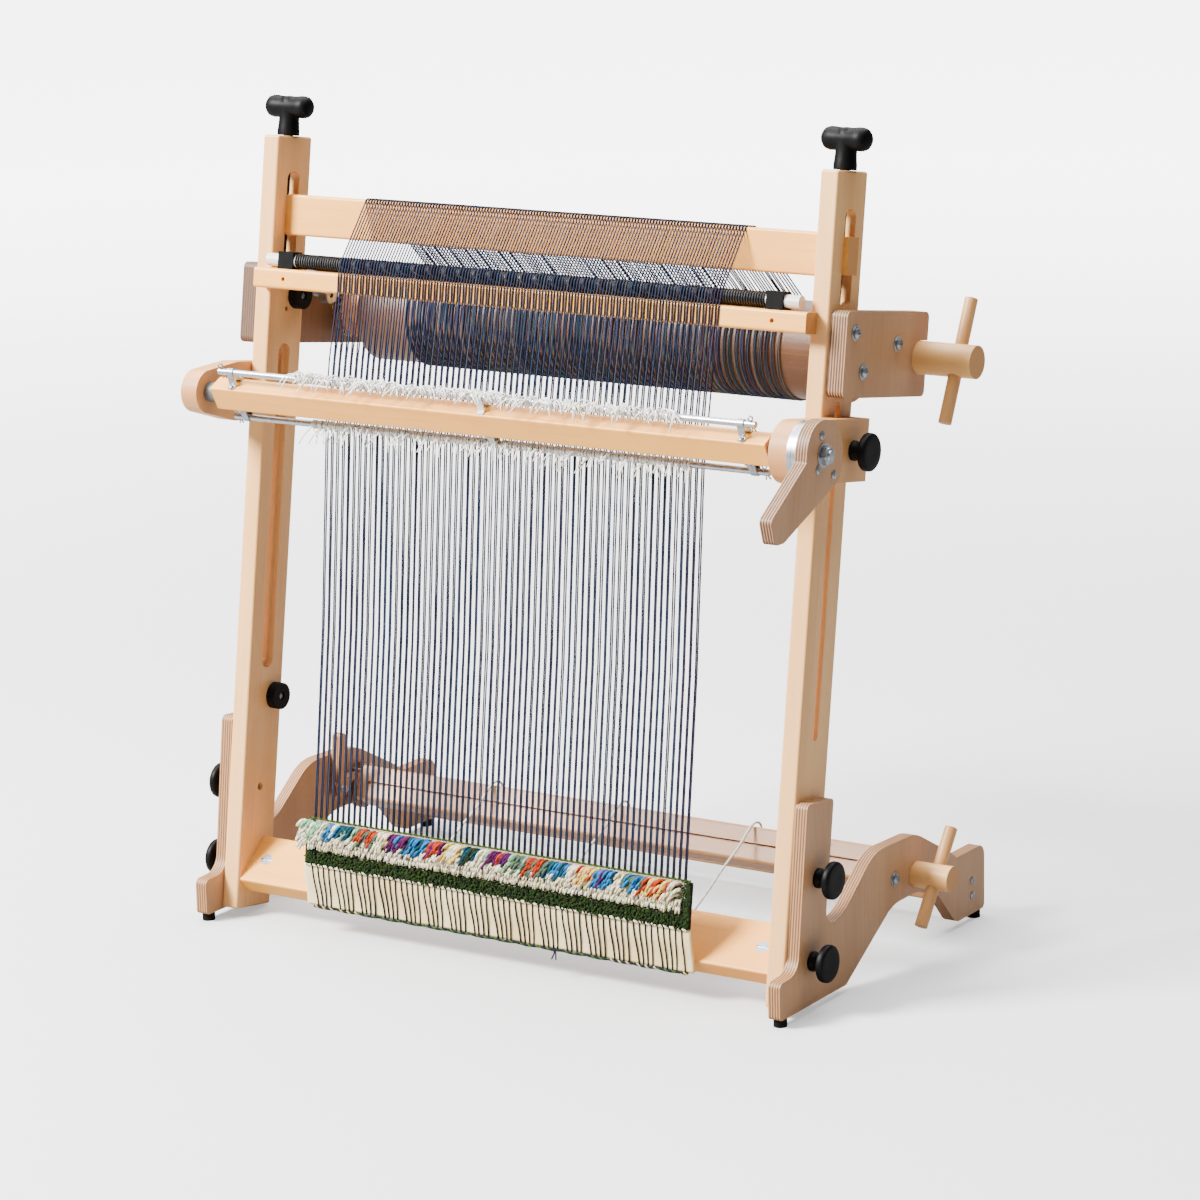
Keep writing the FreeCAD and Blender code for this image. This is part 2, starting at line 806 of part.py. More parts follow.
def knob(name, side, face, depth, height, stud_end):
    """Make a round hand knob outside a face, with a stud that reaches inwards."""
    out = Vec(side, 0, 0)
    at = Vec(side * (face + rest_gap), depth, height)
    stem = cylinder("knob_stem_radius", "knob_height", at, out, leaning)
    head_at = at + out * (size("knob_height") - size("knob_head_height"))
    head = cylinder("knob_radius", "knob_head_height", head_at, out, leaning)
    stud = cylinder("stud_radius", face + rest_gap - stud_end, at, -out, leaning)
    keep(name, fused([stem, head, stud]))


shed_axis = (size("shed_depth"), upright_top - size("shed_drop"))
for name, side in SIDES.items():
    lower_end = inner_face - size("barrel_nut_inset") - size("barrel_nut_radius")
    upper_end = half_width - size("upper_stud_depth")
    knob(name + "_lower_foot_knob", side, ply_face, slot_line, size("front_bolt_height"), lower_end)
    knob(name + "_upper_foot_knob", side, ply_face, slot_line, size("upper_bolt_height"), upper_end)
    knob(name + "_bracket_knob", side, bracket_face, slot_line, shed_axis[1], inner_face + 1)

# Bumpers inside the uprights

bumpers = []
for side in (LEFT, RIGHT):
    for height in bumper_heights:
        at = Vec(side * inner_face, size("bumper_depth"), height)
        inward = Vec(-side, 0, 0)
        puck = cylinder("bumper_radius", "bumper_height", at, inward, leaning)
        seat = size("bumper_height") - size("bumper_sink")
        head_at = at + inward * seat
        shank = cylinder("bumper_screw_radius", seat + size("bumper_screw_depth"), head_at, -inward, leaning)
        head = cylinder("bumper_screw_head", "bumper_screw_head_height", head_at, inward, leaning)
        wood_screws.append(fused([shank, head]))
        hole = cylinder(size("bumper_screw_radius") + screw_gap, "bumper_height", at, inward, leaning)
        sink_radius = size("bumper_screw_head") + size("bumper_sink_gap")
        sink = cylinder(sink_radius, "bumper_sink", head_at, inward, leaning)
        bumpers.append(less(puck, [hole, sink]))
keep("bumpers", together(bumpers))
keep("wood_screws", together(wood_screws))

# Tension beam with tenons in the uprights' slots, its nuts, rods and T handles

beam_middle = upright_top - size("beam_drop")
beam_front = slot_line - size("board") / 2
tenon_end = half_width + size("tenon_reach")
beam = side_body("top_beam", leaning, -tenon_end, 2 * tenon_end,
                 rectangle=(beam_front, beam_middle - size("tenon_height") / 2, "board", "tenon_height"))
sketch = sketch_in(beam, "YZ_Plane", -(inner_face - rest_gap))
draw_rectangle(sketch, beam_front, beam_middle - size("beam_height") / 2, "board", "beam_height")
pad(beam, sketch, 2 * (inner_face - rest_gap))
round_edges(beam, "beam_rounding", lambda edge: runs_across(edge) and edge.Length > inner_face)
beam_top = beam_middle + size("beam_height") / 2
beam_body = parts.pop("top_beam")
cuts = []
for side in (LEFT, RIGHT):
    cuts.append(cylinder(size("tension_rod_radius") + rest_gap, 2 * size("tenon_height"),
                         Vec(side * upright_middle, slot_line, beam_middle - size("tenon_height")),
                         Vec(0, 0, 1), leaning))
    nut_bore = size("tension_nut_length") + size("tension_nut_inset") + shaft_gap
    cuts.append(cylinder(size("tension_nut_radius") + screw_gap, nut_bore,
                         Vec(side * upright_middle, slot_line + size("board") / 2, beam_middle),
                         Vec(0, -1, 0), leaning))
keep("top_beam", less(beam_body, cuts))
nuts = []
for side in (LEFT, RIGHT):
    back = slot_line + size("board") / 2 - size("tension_nut_inset")
    barrel_nut = cylinder("tension_nut_radius", "tension_nut_length",
                          Vec(side * upright_middle, back, beam_middle), Vec(0, -1, 0), leaning)
    along = size("tension_nut_length")
    thread = cylinder(size("tension_rod_radius") + shaft_gap, 2 * along,
                      Vec(side * upright_middle, slot_line, beam_middle - along), Vec(0, 0, 1), leaning)
    nuts.append(less(barrel_nut, [thread]))
keep("tension_nuts", together(nuts))

handle_low = upright_top + rest_gap
rod_low = tension_slot_low + size("tension_rod_foot")
for name, side in SIDES.items():
    middle = side * upright_middle
    body = doc.addObject("PartDesign::Body", name + "_t_handle")
    turn = Turn(Vec(0, 0, 1), size(name + "_handle_turn"))
    body.Placement = leaning.multiply(Place(Vec(), turn, Vec(middle, slot_line, 0)))
    bar_start = middle - size("handle_bar_length") / 2
    bar_height = handle_low + size("handle_stem_height") + size("handle_bar_radius") / 2
    sketch = sketch_in(body, "YZ_Plane", bar_start)
    draw_circle(sketch, slot_line, bar_height, "handle_bar_radius")
    pad(body, sketch, "handle_bar_length")
    round_edges(body, "handle_bar_rounding", lambda edge: isinstance(edge.Curve, Part.Circle))
    sketch = sketch_in(body, "XY_Plane", handle_low)
    draw_circle(sketch, middle, slot_line, "handle_stem_radius")
    pad(body, sketch, bar_height - handle_low)
    sketch = sketch_in(body, "XY_Plane", rod_low)
    draw_circle(sketch, middle, slot_line, "tension_rod_radius")
    pad(body, sketch, handle_low + 1 - rod_low)
    keep(name + "_t_handle", body)

# Spring bar on the uprights' fronts, with the rod, its clips and the spring

bar_size = size("spring_bar_size")
bar_low = upright_top - size("spring_bar_drop")
bar_high = bar_low + bar_size
reach = half_width - size("spring_bar_inset")
spring_bar = side_body("spring_bar", leaning, -reach, 2 * reach,
                       rectangle=(-bar_size, bar_low, "spring_bar_size", "spring_bar_size"))
round_edges(spring_bar, "spring_bar_rounding",
            lambda edge: runs_across(edge) and edge.CenterOfMass.y < -1)
clip_start = reach - size("clip_inset")
clip_middle = clip_start + size("clip_length") / 2
for side in (LEFT, RIGHT):
    sketch = sketch_in(spring_bar, "XZ_Plane", bar_size)
    draw_circle(sketch, side * clip_middle, (bar_low + bar_high) / 2, "pin_hole_radius")
    pocket(spring_bar, sketch, "pin_hole_depth")

rod_depth = -bar_size / 2
coil_outer = size("spring_coil_radius") + size("spring_wire") / 2
rod_height = bar_high + coil_outer + rest_gap
rod_reach = reach - size("spring_rod_inset")
keep("spring_rod", dowel(-rod_reach, rod_reach, rod_depth, rod_height, "spring_rod_radius", leaning))
clips = []
for side in (LEFT, RIGHT):
    start = span(side, clip_start, clip_start + size("clip_length"))
    clip_top = rod_height + size("spring_rod_radius") + size("clip_wall")
    shell = box("clip_length", size("clip_width") + size("clip_wall"), clip_top - bar_high,
                Vec(start, rod_depth - (size("clip_width") + size("clip_wall")) / 2, bar_high), leaning)
    hole = dowel(start - 1, start + size("clip_length") + 1, rod_depth, rod_height,
                 size("spring_rod_radius") + screw_gap, leaning)
    clips.append(less(shell, [hole]))
keep("spring_clips", together(clips))


def coil_point(turn, start, pitch):
    """Return a point of the spring and the way it runs there."""
    angle = 2 * math.pi * turn
    radius = size("spring_coil_radius")
    point = Vec(start + pitch * turn, rod_depth + radius * math.cos(angle),
                rod_height + radius * math.sin(angle))
    way = Vec(pitch, -2 * math.pi * radius * math.sin(angle), 2 * math.pi * radius * math.cos(angle))
    return point, way.normalize()


def coil_spring():
    """Return the spring as one tube, its ends straight and square to the clips."""
    wire = size("spring_wire")
    turns = int(size("spring_turns"))
    lead = 3 * wire
    start = -(clip_start - lead)
    pitch = 2 * (clip_start - lead) / turns
    edges = []
    halves = [coil_point(i / 2, start, pitch) for i in range(2 * turns + 1)]
    first, first_way = halves[0]
    last, last_way = halves[-1]
    inlet = first - first_way * wire * 1.6
    inlet.x = -clip_start + wire
    outlet = last + last_way * wire * 1.6
    outlet.x = clip_start - wire
    across = Vec(1, 0, 0)
    edges.append(Part.LineSegment(inlet - across * wire, inlet).toShape())
    edges += biarc(inlet, across, first, first_way)
    for (a, a_way), (b, b_way) in zip(halves, halves[1:]):
        edges += biarc(a, a_way, b, b_way)
    edges += biarc(last, last_way, outlet, across)
    edges.append(Part.LineSegment(outlet, outlet + across * wire).toShape())
    samples = [coil_point(i / 36, start, pitch)[0] for i in range(4 * 36)]
    least = min(a.distanceToPoint(b) for i, a in enumerate(samples) for b in samples[i + 18:])
    print("spring: least gap to itself", round(least - wire, 2))
    print("spring: tightest arc", round(min(e.Curve.Radius for e in edges if hasattr(e.Curve, "Radius")), 2))
    return tube(edges, wire / 2)


solid_feature("warp_spring", coil_spring(), leaning)

# Plates that carry the warp beam: a closed bore on the left, an open notch on the right

beam_axis = (size("warp_beam_depth"), upright_top - size("warp_beam_drop"))
notch = size("stub_radius") + shaft_gap
pawl_axis = (beam_axis[0] - size("warp_pawl_ahead"), beam_axis[1] + size("warp_pawl_rise"))


def plate(name, side, back):
    """Make one plate outside an upright."""
    start = span(side, half_width, plate_face)
    front = size("plate_front")
    middle = ((front + back) / 2, plate_low + size("plate_height") / 2)
    outline = turned(block(back - front, size("plate_height"), size("plate_corner")), 0, middle)
    body = side_body(name + "_beam_plate", leaning, start, "plate_thickness", edges=rounded(outline))
    far = start + size("plate_thickness")
    bore(body, far, [beam_axis + (notch,)])
    if back < beam_axis[0] + notch:
        sketch = sketch_in(body, "YZ_Plane", far)
        draw_rectangle(sketch, beam_axis[0], beam_axis[1] - notch, back, 2 * notch)
        pocket(body, sketch)
    screws = [(d, u, size("screw_radius") + screw_gap) for d, u in plate_screw_places]
    bore(body, far, screws + [pawl_axis + (size("pawl_bolt_radius") + screw_gap,)])


plate("left", LEFT, size("left_plate_back"))
plate("right", RIGHT, size("right_plate_back"))
frame_bolts = [
    screw(plate_face, side, depth, height, "screw_radius", "screw_head_radius", "screw_head_height",
          size("plate_thickness") + size("screw_depth"), leaning, "washer_radius")
    for side in (LEFT, RIGHT) for depth, height in plate_screw_places]


def lock_nut(side, face, depth, height, frame):
    """Return a nut against the inner side of a face, bored for its bolt."""
    at = Vec(side * face, depth, height)
    ring = cylinder("screw_head_radius", "lock_nut_height", at, Vec(-side, 0, 0), frame)
    hole = cylinder(size("pawl_bolt_radius") + screw_gap, "lock_nut_height", at, Vec(-side, 0, 0), frame)
    return less(ring, [hole])


for face, place, frame, thickness in ((plate_face, pawl_axis, leaning, size("plate_thickness")),
                                      (ply_face, cloth_pawl_axis, level, size("ply"))):
    for side in (LEFT, RIGHT):
        reach = thickness + size("plain_bolt_reach" if side == RIGHT else "pawl_bolt_reach")
        frame_bolts.append(screw(face, side, *place, "pawl_bolt_radius", "screw_head_radius",
                                 "screw_head_height", reach, frame, "washer_radius"))
    frame_bolts.append(lock_nut(RIGHT, half_width, *place, frame))
keep("frame_bolts", together(frame_bolts))

# Warp beam: a round log with one flat, a short axle, the turning stub and its peg

flat_angle = math.radians(size("warp_beam_flat_angle"))
flat_way = Vec(math.cos(flat_angle), math.sin(flat_angle), 0)
flat_side = Vec(-math.sin(flat_angle), math.cos(flat_angle), 0)


def flatted_round(radius, flat, corner):
    """Return the edges of a circle with one flat and two rounded corners, about the warp beam's axis."""
    centre = Vec(beam_axis[0], beam_axis[1], 0)
    inset = flat - corner
    lateral = math.sqrt((radius - corner) ** 2 - inset ** 2)
    heads = [centre + flat_way * inset + flat_side * (k * lateral) for k in (-1, 1)]
    onto_flat = [head + flat_way * corner for head in heads]
    onto_round = [head + (head - centre).normalize() * corner for head in heads]
    middles = []
    for head, a, b in zip(heads, onto_flat, onto_round):
        middles.append(head + ((a - head) + (b - head)).normalize() * corner)
    far = centre - flat_way * radius
    return [
        Part.LineSegment(onto_flat[0], onto_flat[1]),
        Part.Arc(onto_flat[1], middles[1], onto_round[1]),
        Part.Arc(onto_round[1], far, onto_round[0]),
        Part.Arc(onto_round[0], middles[0], onto_flat[0]),
    ]


drum_reach = inner_face - size("warp_beam_gap")
drum_edges = flatted_round(size("warp_beam_radius"), size("warp_beam_flat"), size("warp_beam_corner"))
drum = side_body("warp_beam", leaning, -drum_reach, 2 * drum_reach, edges=drum_edges)
for side in (LEFT, RIGHT):
    bore_from(drum, side, drum_reach, [beam_axis + (size("stub_radius") + screw_gap,)],
              size("stub_depth") + screw_gap)
axle = dowel(-(plate_face + size("stub_overrun")), -(drum_reach - size("stub_depth")),
             *beam_axis, "stub_radius", leaning)
stub_end = plate_face + size("warp_stub_reach")
stub = dowel(drum_reach - size("stub_depth"), stub_end, *beam_axis, "stub_radius", leaning)


def peg(place, axis, radius, length, angle, frame):
    """Return a cross peg through an axis, tilted back from upright."""
    way = Vec(0, math.sin(math.radians(angle)), math.cos(math.radians(angle)))
    low = Vec(place, axis[0], axis[1]) - way * (length / 2)
    return cylinder(radius, length, low, way, frame)


peg_place = stub_end - size("warp_peg_inset")
peg_hole = peg(peg_place, beam_axis, size("peg_radius") + screw_gap,
               size("warp_peg_length"), size("warp_peg_tilt"), leaning)
keep("warp_beam_axles", together([axle, less(stub, [peg_hole])]))
keep("warp_beam_peg", peg(peg_place, beam_axis, "peg_radius", size("warp_peg_length"),
                          size("warp_peg_tilt"), leaning))

layer_left = size("warp_left") - size("warp_winding_spare")
layer_width = size("warp_right") - size("warp_left") + 2 * size("warp_winding_spare")
layer = size("warp_layer")
wound = side_body("wound_warp", leaning, layer_left, layer_width,
                  edges=flatted_round(size("warp_beam_radius") + layer, size("warp_beam_flat") + layer,
                                      size("warp_beam_corner") + layer))
sketch = sketch_in(wound, "YZ_Plane", layer_left + layer_width)
draw_edges(sketch, flatted_round(size("warp_beam_radius") + screw_gap, size("warp_beam_flat") + screw_gap,
                                 size("warp_beam_corner") + screw_gap))
pocket(wound, sketch)

# Ratchet wheels and pawls on the left


def tooth_gap(axis, pawl):
    """Return the angle at a wheel's axis of the tooth gap that its pawl drops into."""
    return math.atan2(pawl[1] - axis[1], pawl[0] - axis[0]) - math.radians(size("pawl_lead_angle"))


def ratchet(name, axis, radius, bore_radius, face, pawl, frame):
    """Make one ratchet wheel and return the angle of one of its teeth."""
    phase = tooth_gap(axis, pawl)
    body = side_body(name, frame, -face, "ratchet_thickness", edges=ratchet_outline(axis, radius, phase))
    bore(body, -face + size("ratchet_thickness"), [axis + (bore_radius,)])
    return phase


def pawl_nose(axis, radius, phase):
    """Return the point of a pawl in its wheel's tooth gap."""
    step = 2 * math.pi / size("ratchet_teeth")
    angle = phase + step * 0.28
    reach = radius - size("tooth_depth") * 0.62
    return Vec(axis[0] + math.cos(angle) * reach, axis[1] + math.sin(angle) * reach, 0)


def pawl(name, frame, axis, pivot, radius, phase, tail, face):
    """Make one pawl: a nose in a tooth gap, a head about the pivot and a tail."""
    hub = Vec(pivot[0], pivot[1], 0)
    nose = pawl_nose(axis, radius, phase)
    way = (nose - hub).normalize()
    side_way = Vec(-way.y, way.x, 0)
    if side_way.dot(hub - Vec(axis[0], axis[1], 0)) < 0:
        side_way = -side_way
    head = size("pawl_head_radius")
    heel_point = nose + side_way * size("pawl_nose_rise") - way * size("pawl_nose_run")
    throat = nose - side_way * size("pawl_throat_drop") - way * size("pawl_throat_run")
    nose_edges = [(nose, 0), (heel_point, 0), (hub + side_way * head - way * 8, 6),
                  (hub - side_way * head - way * 8, 6), (hub - side_way * head + way * 4, 3), (throat, 2)]
    start = -face + size("pawl_side_gap")
    thickness = size("ratchet_thickness") - 2 * size("pawl_side_gap")
    body = side_body(name, frame, start, thickness, edges=rounded([(p.x, p.y, r) for p, r in nose_edges]))
    run = (tail - hub).normalize()
    cross = Vec(-run.y, run.x, 0)
    root = hub - run * 3
    tail_points = [(root - cross * size("pawl_tail_half"), 0), (root + cross * size("pawl_tail_half"), 0),
                   (tail + cross * size("pawl_tip_half"), 4), (tail - cross * size("pawl_tip_half"), 4)]
    sketch = sketch_in(body, "YZ_Plane", start)
    draw_edges(sketch, rounded([(p.x, p.y, r) for p, r in tail_points]))
    pad(body, sketch, thickness)
    bore(body, start + thickness, [pivot + (size("pawl_bolt_radius") + shaft_gap,)])


warp_pawl_tail = Vec(pawl_axis[0] - size("warp_pawl_tail_ahead"),
                     pawl_axis[1] + size("warp_pawl_tail_rise"), 0)
warp_face = half_width - size("warp_ratchet_inset")
warp_phase = ratchet("warp_ratchet", beam_axis, size("warp_ratchet_radius"), size("stub_radius") + screw_gap,
                     warp_face, pawl_axis, leaning)
pawl("warp_pawl", leaning, beam_axis, pawl_axis, size("warp_ratchet_radius"), warp_phase,
     warp_pawl_tail, warp_face)

# Cloth beam in the feet

cloth_pawl_tail = Vec(cloth_pawl_axis[0] + size("cloth_pawl_tail_back"),
                      cloth_pawl_axis[1] + size("cloth_pawl_tail_rise"), 0)
cloth_left = size("cloth_beam_left_gap") - half_width
cloth_right = half_width - size("cloth_beam_right_gap")
cloth_length = cloth_right - cloth_left
face_angle = size("cloth_beam_face_angle")
cloth_half = size("cloth_beam_thickness") / 2
cloth_block = block(size("cloth_beam_thickness"), size("cloth_beam_width"), size("cloth_beam_rounding"))
cloth_beam = side_body("cloth_beam", level, cloth_left, cloth_length,
                       edges=rounded(turned(cloth_block, -face_angle, cloth_axis)))
groove_half = size("cloth_groove_width") / 2
groove_floor = -cloth_half + size("cloth_groove_depth")
groove = [(-cloth_half - 1, -groove_half, 0), (groove_floor, -groove_half, 0),
          (groove_floor, groove_half, 0), (-cloth_half - 1, groove_half, 0)]
sketch = sketch_in(cloth_beam, "YZ_Plane", cloth_right - size("cloth_groove_inset"))
draw_edges(sketch, rounded(turned(groove, -face_angle, cloth_axis)))
pocket(cloth_beam, sketch, cloth_length - 2 * size("cloth_groove_inset"))
bore(cloth_beam, cloth_right, [cloth_axis + (size("cloth_stub_radius") + screw_gap,)],
     size("stub_depth") + screw_gap)
bore(cloth_beam, cloth_left, [cloth_axis + (size("cloth_stub_radius") + screw_gap,)],
     size("stub_depth") + screw_gap, forward=True)

cloth_axle = dowel(-ply_face, cloth_left + size("stub_depth"), *cloth_axis, "cloth_stub_radius", level)
cloth_stub_end = ply_face + size("cloth_stub_reach")
cloth_stub = dowel(cloth_right - size("stub_depth"), cloth_stub_end, *cloth_axis,
                   "cloth_stub_radius", level)
cloth_peg_place = cloth_stub_end - size("cloth_peg_inset")
cloth_peg_hole = peg(cloth_peg_place, cloth_axis, size("peg_radius") + screw_gap,
                     size("cloth_peg_length"), size("cloth_peg_angle"), level)
keep("cloth_beam_axles", together([cloth_axle, less(cloth_stub, [cloth_peg_hole])]))
keep("cloth_beam_peg", peg(cloth_peg_place, cloth_axis, "peg_radius", size("cloth_peg_length"),
                           size("cloth_peg_angle"), level))
cloth_face = -cloth_left + rest_gap + size("ratchet_thickness")
cloth_phase = ratchet("cloth_ratchet", cloth_axis, size("cloth_ratchet_radius"),
                      size("cloth_stub_radius") + screw_gap, cloth_face, cloth_pawl_axis, level)
pawl("cloth_pawl", level, cloth_axis, cloth_pawl_axis, size("cloth_ratchet_radius"), cloth_phase,
     cloth_pawl_tail, cloth_face)

# Shedding device: brackets on the uprights, the bar, its collars, detents and lever

bracket_half = size("bracket_height") / 2
bracket_nut_face = inner_face + size("groove_depth") - size("bracket_nut_thickness") - rest_gap / 2
stud_place = (slot_line, shed_axis[1], size("stud_radius") + shaft_gap)


def bracket(name, side, nose_radius, shoulder):
    """Make one bracket with a round nose about the shedding bar's axis."""
    start = span(side, half_width, bracket_face)
    depth, height = shed_axis
    back = size("upright_depth")
    nose = Vec(depth, height, 0)
    corner = Vec(shoulder, height + bracket_half, 0)
    to_nose = nose - corner
    swing = math.acos(nose_radius / to_nose.Length)
    angle = math.atan2(-to_nose.y, -to_nose.x) + swing
    touch = nose + Vec(math.cos(angle), math.sin(angle), 0) * nose_radius
    mirror = Vec(touch.x, 2 * height - touch.y, 0)
    tip = nose - Vec(nose_radius, 0, 0)
    top = height + bracket_half
    low = height - bracket_half
    edges = [Part.LineSegment(Vec(back, low, 0), Vec(back, top, 0)),
             Part.LineSegment(Vec(back, top, 0), corner),
             Part.LineSegment(corner, touch),
             Part.Arc(touch, tip, mirror),
             Part.LineSegment(mirror, Vec(shoulder, low, 0)),
             Part.LineSegment(Vec(shoulder, low, 0), Vec(back, low, 0))]
    body = side_body(name + "_shed_bracket", leaning, start, "board", edges=edges)
    far = start + size("board")
    bore(body, far, [stud_place, shed_axis + (size("pivot_radius") + shaft_gap,)])


bracket("left", LEFT, size("bracket_nose_radius"), size("bracket_shoulder"))
bracket("right", RIGHT, bracket_half - 0.1, size("shed_depth") + 1)
nut_pieces = []
for side in (LEFT, RIGHT):
    start = span(side, bracket_nut_face, bracket_nut_face + size("bracket_nut_thickness"))
    slab = box("bracket_nut_thickness", "bracket_nut_width", "bracket_nut_length",
               Vec(start, slot_line - size("bracket_nut_width") / 2,
                   shed_axis[1] - size("bracket_nut_length") / 2), leaning)
    hole = dowel(start - 1, start + 10, stud_place[0], stud_place[1], stud_place[2], leaning)
    nut_pieces.append(less(slab, [hole]))
keep("bracket_nuts", together(nut_pieces))

shed_outline = turned(block(size("shed_bar_thickness"), size("shed_bar_width"), size("shed_bar_rounding")),
                      size("shed_tilt"), shed_axis)
shed_reach = half_width - rest_gap - size("collar_length")
shed_bar = side_body("shed_bar", leaning, -shed_reach, 2 * shed_reach, edges=rounded(shed_outline))
for side in (LEFT, RIGHT):
    bore_from(shed_bar, side, shed_reach, [shed_axis + (size("pivot_radius") + screw_gap,)],
              size("pivot_hold") + screw_gap)
collars = []
for side in (LEFT, RIGHT):
    start = span(side, shed_reach, half_width - rest_gap)
    ring = dowel(start, start + size("collar_length"), *shed_axis, "collar_radius", leaning)
    hole = dowel(start - 1, start + 20, *shed_axis, size("pivot_radius") + screw_gap, leaning)
    collars.append(less(ring, [hole]))
keep("shed_collars", together(collars))

plate_disc = side_body("detent_plate", leaning, bracket_face, "detent_thickness",
                       circle=shed_axis + ("detent_radius",))
disc_face = bracket_face + size("detent_thickness")
bore(plate_disc, disc_face, [shed_axis + (size("pivot_radius") + shaft_gap,)])
for turn in (0, 35, 70):
    angle = math.radians(size("detent_start_angle") - turn)
    at = (shed_axis[0] + size("detent_ring_of_holes") * math.cos(angle),
          shed_axis[1] + size("detent_ring_of_holes") * math.sin(angle))
    bore(plate_disc, disc_face, [at + ("detent_hole_radius",)])
ring_start = disc_face + rest_gap
ring_disc = side_body("detent_ring", leaning, ring_start, "detent_thickness",
                      circle=shed_axis + ("detent_radius",))
lever_start = ring_start + size("detent_thickness")
lever_screw_places = [(-9, -13), (-6, 18), (20, -18)]
lever_holes = [(shed_axis[0] + d, shed_axis[1] + u, size("lever_screw_radius") + screw_gap)
               for d, u in lever_screw_places]
bore(ring_disc, lever_start, [shed_axis + (size("pivot_radius") + screw_gap,)] + lever_holes)

head = size("lever_head_radius")
lever_outline = [(-86.5, -57, 6), (-76, -79, 6), (-61, -77, 8), (head + 4, -21, 20),
                 (head + 1, head + 1, head - 1), (-head + 1, head + 1, head - 2), (-head + 1, -7, 4)]
lever_points = [(shed_axis[0] + d, shed_axis[1] + u, r) for d, u, r in lever_outline]
lever = side_body("shed_lever", leaning, lever_start, "ply", edges=rounded(lever_points[::-1]))
lever_face = lever_start + size("ply")
bore(lever, lever_face, [shed_axis + (size("pivot_radius") + screw_gap,)] + lever_holes)
bolt_run = lever_face + size("washer_height") - (shed_reach - size("pivot_hold"))
lever_bolt = fused([
    cylinder("lever_washer_radius", "washer_height", Vec(lever_face, *shed_axis), Vec(1, 0, 0), leaning),
    cylinder("lever_bolt_head_radius", "lever_bolt_head_height",
             Vec(lever_face + size("washer_height"), *shed_axis), Vec(1, 0, 0), leaning),
    cylinder("pivot_radius", bolt_run, Vec(lever_face + size("washer_height"), *shed_axis),
             Vec(-1, 0, 0), leaning)])
pivot_pin = dowel(-bracket_face, -(shed_reach - size("pivot_hold")), *shed_axis, "pivot_radius", leaning)
keep("shed_pivots", together([lever_bolt, pivot_pin]))
keep("lever_screws", together([
    screw(lever_face, RIGHT, shed_axis[0] + d, shed_axis[1] + u, "lever_screw_radius", "lever_screw_head",
          "lever_screw_head_height", size("ply") + size("detent_thickness"), leaning)
    for d, u in lever_screw_places]))

# Heddle rods beside the bar, their clips and cotters

tilt = math.radians(size("shed_tilt"))
bar_up = Vec(0, -math.sin(tilt), math.cos(tilt))
shed_centre = Vec(0, *shed_axis)


def rod_centre(way):
    """Return the middle of the upper or lower heddle rod."""
    return shed_centre + bar_up * (way * size("heddle_rod_offset"))


rod_end = shed_reach - size("heddle_rod_inset")
rod_clip_place = rod_end - size("rod_clip_inset")
heddle_rods = []
clip_pieces = []
cotters = []
for way in (1, -1):
    at = rod_centre(way)
    rod = dowel(-rod_end, rod_end, at.y, at.z, "heddle_rod_radius", leaning)
    holes = []
    for side in (LEFT, RIGHT):
        low = at + Vec(side * (rod_end - size("cotter_inset")), 0, 0) - bar_up * (size("cotter_length") / 2)
        holes.append(cylinder(size("cotter_radius") + screw_gap, "cotter_length", low, bar_up, leaning))
        cotters.append(cylinder("cotter_radius", "cotter_length", low, bar_up, leaning))
    heddle_rods.append(less(rod, holes))
    for place in (-rod_clip_place, size("middle_clip_place"), rod_clip_place):
        start = place - size("rod_clip_width") / 2
        eye = dowel(start, start + size("rod_clip_width"), at.y, at.z, "rod_clip_radius", leaning)
        web_low = size("shed_bar_width") / 2
        web_run = size("heddle_rod_offset") - web_low
        web_place = Place(shed_centre + Vec(start, 0, 0), Turn(Vec(1, 0, 0), math.degrees(tilt)))
        web = doc.addObject("Part::Box", "web")
        bind(web, "Length", "rod_clip_width")
        bind(web, "Width", "rod_clip_web")
        bind(web, "Height", web_run)
        low_edge = web_low if way > 0 else -web_low - web_run
        inset = Place(Vec(0, -size("rod_clip_web") / 2, low_edge), Turn())
        web.Placement = leaning.multiply(web_place).multiply(inset)
        hole = dowel(start - 1, start + size("rod_clip_width") + 1, at.y, at.z,
                     size("heddle_rod_radius") + screw_gap, leaning)
        clip_pieces.append(less(fused([eye, web]), [hole]))
keep("heddle_rods", together(heddle_rods))
keep("rod_clips", together(clip_pieces))
keep("rod_cotters", together(cotters))

# The warp: wound on the beam, up to the tension beam, over it and down the front

warp_left = size("warp_left")
warp_width = size("warp_right") - size("warp_left")


def open_warp(body, *spans):
    """Leave only bands of a sheet of warp between pairs of heights."""
    count = int(size("warp_openings"))
    gap = (warp_width - (count + 1) * size("warp_band")) / count
    sketch = sketch_in(body, "XZ_Plane", 2 * bar_size)
    for low, high in spans:
        for i in range(count):
            place = warp_left + size("warp_band") + i * (gap + size("warp_band"))
            draw_rectangle(sketch, place, low, gap, high - low)
    pocket(body, sketch)


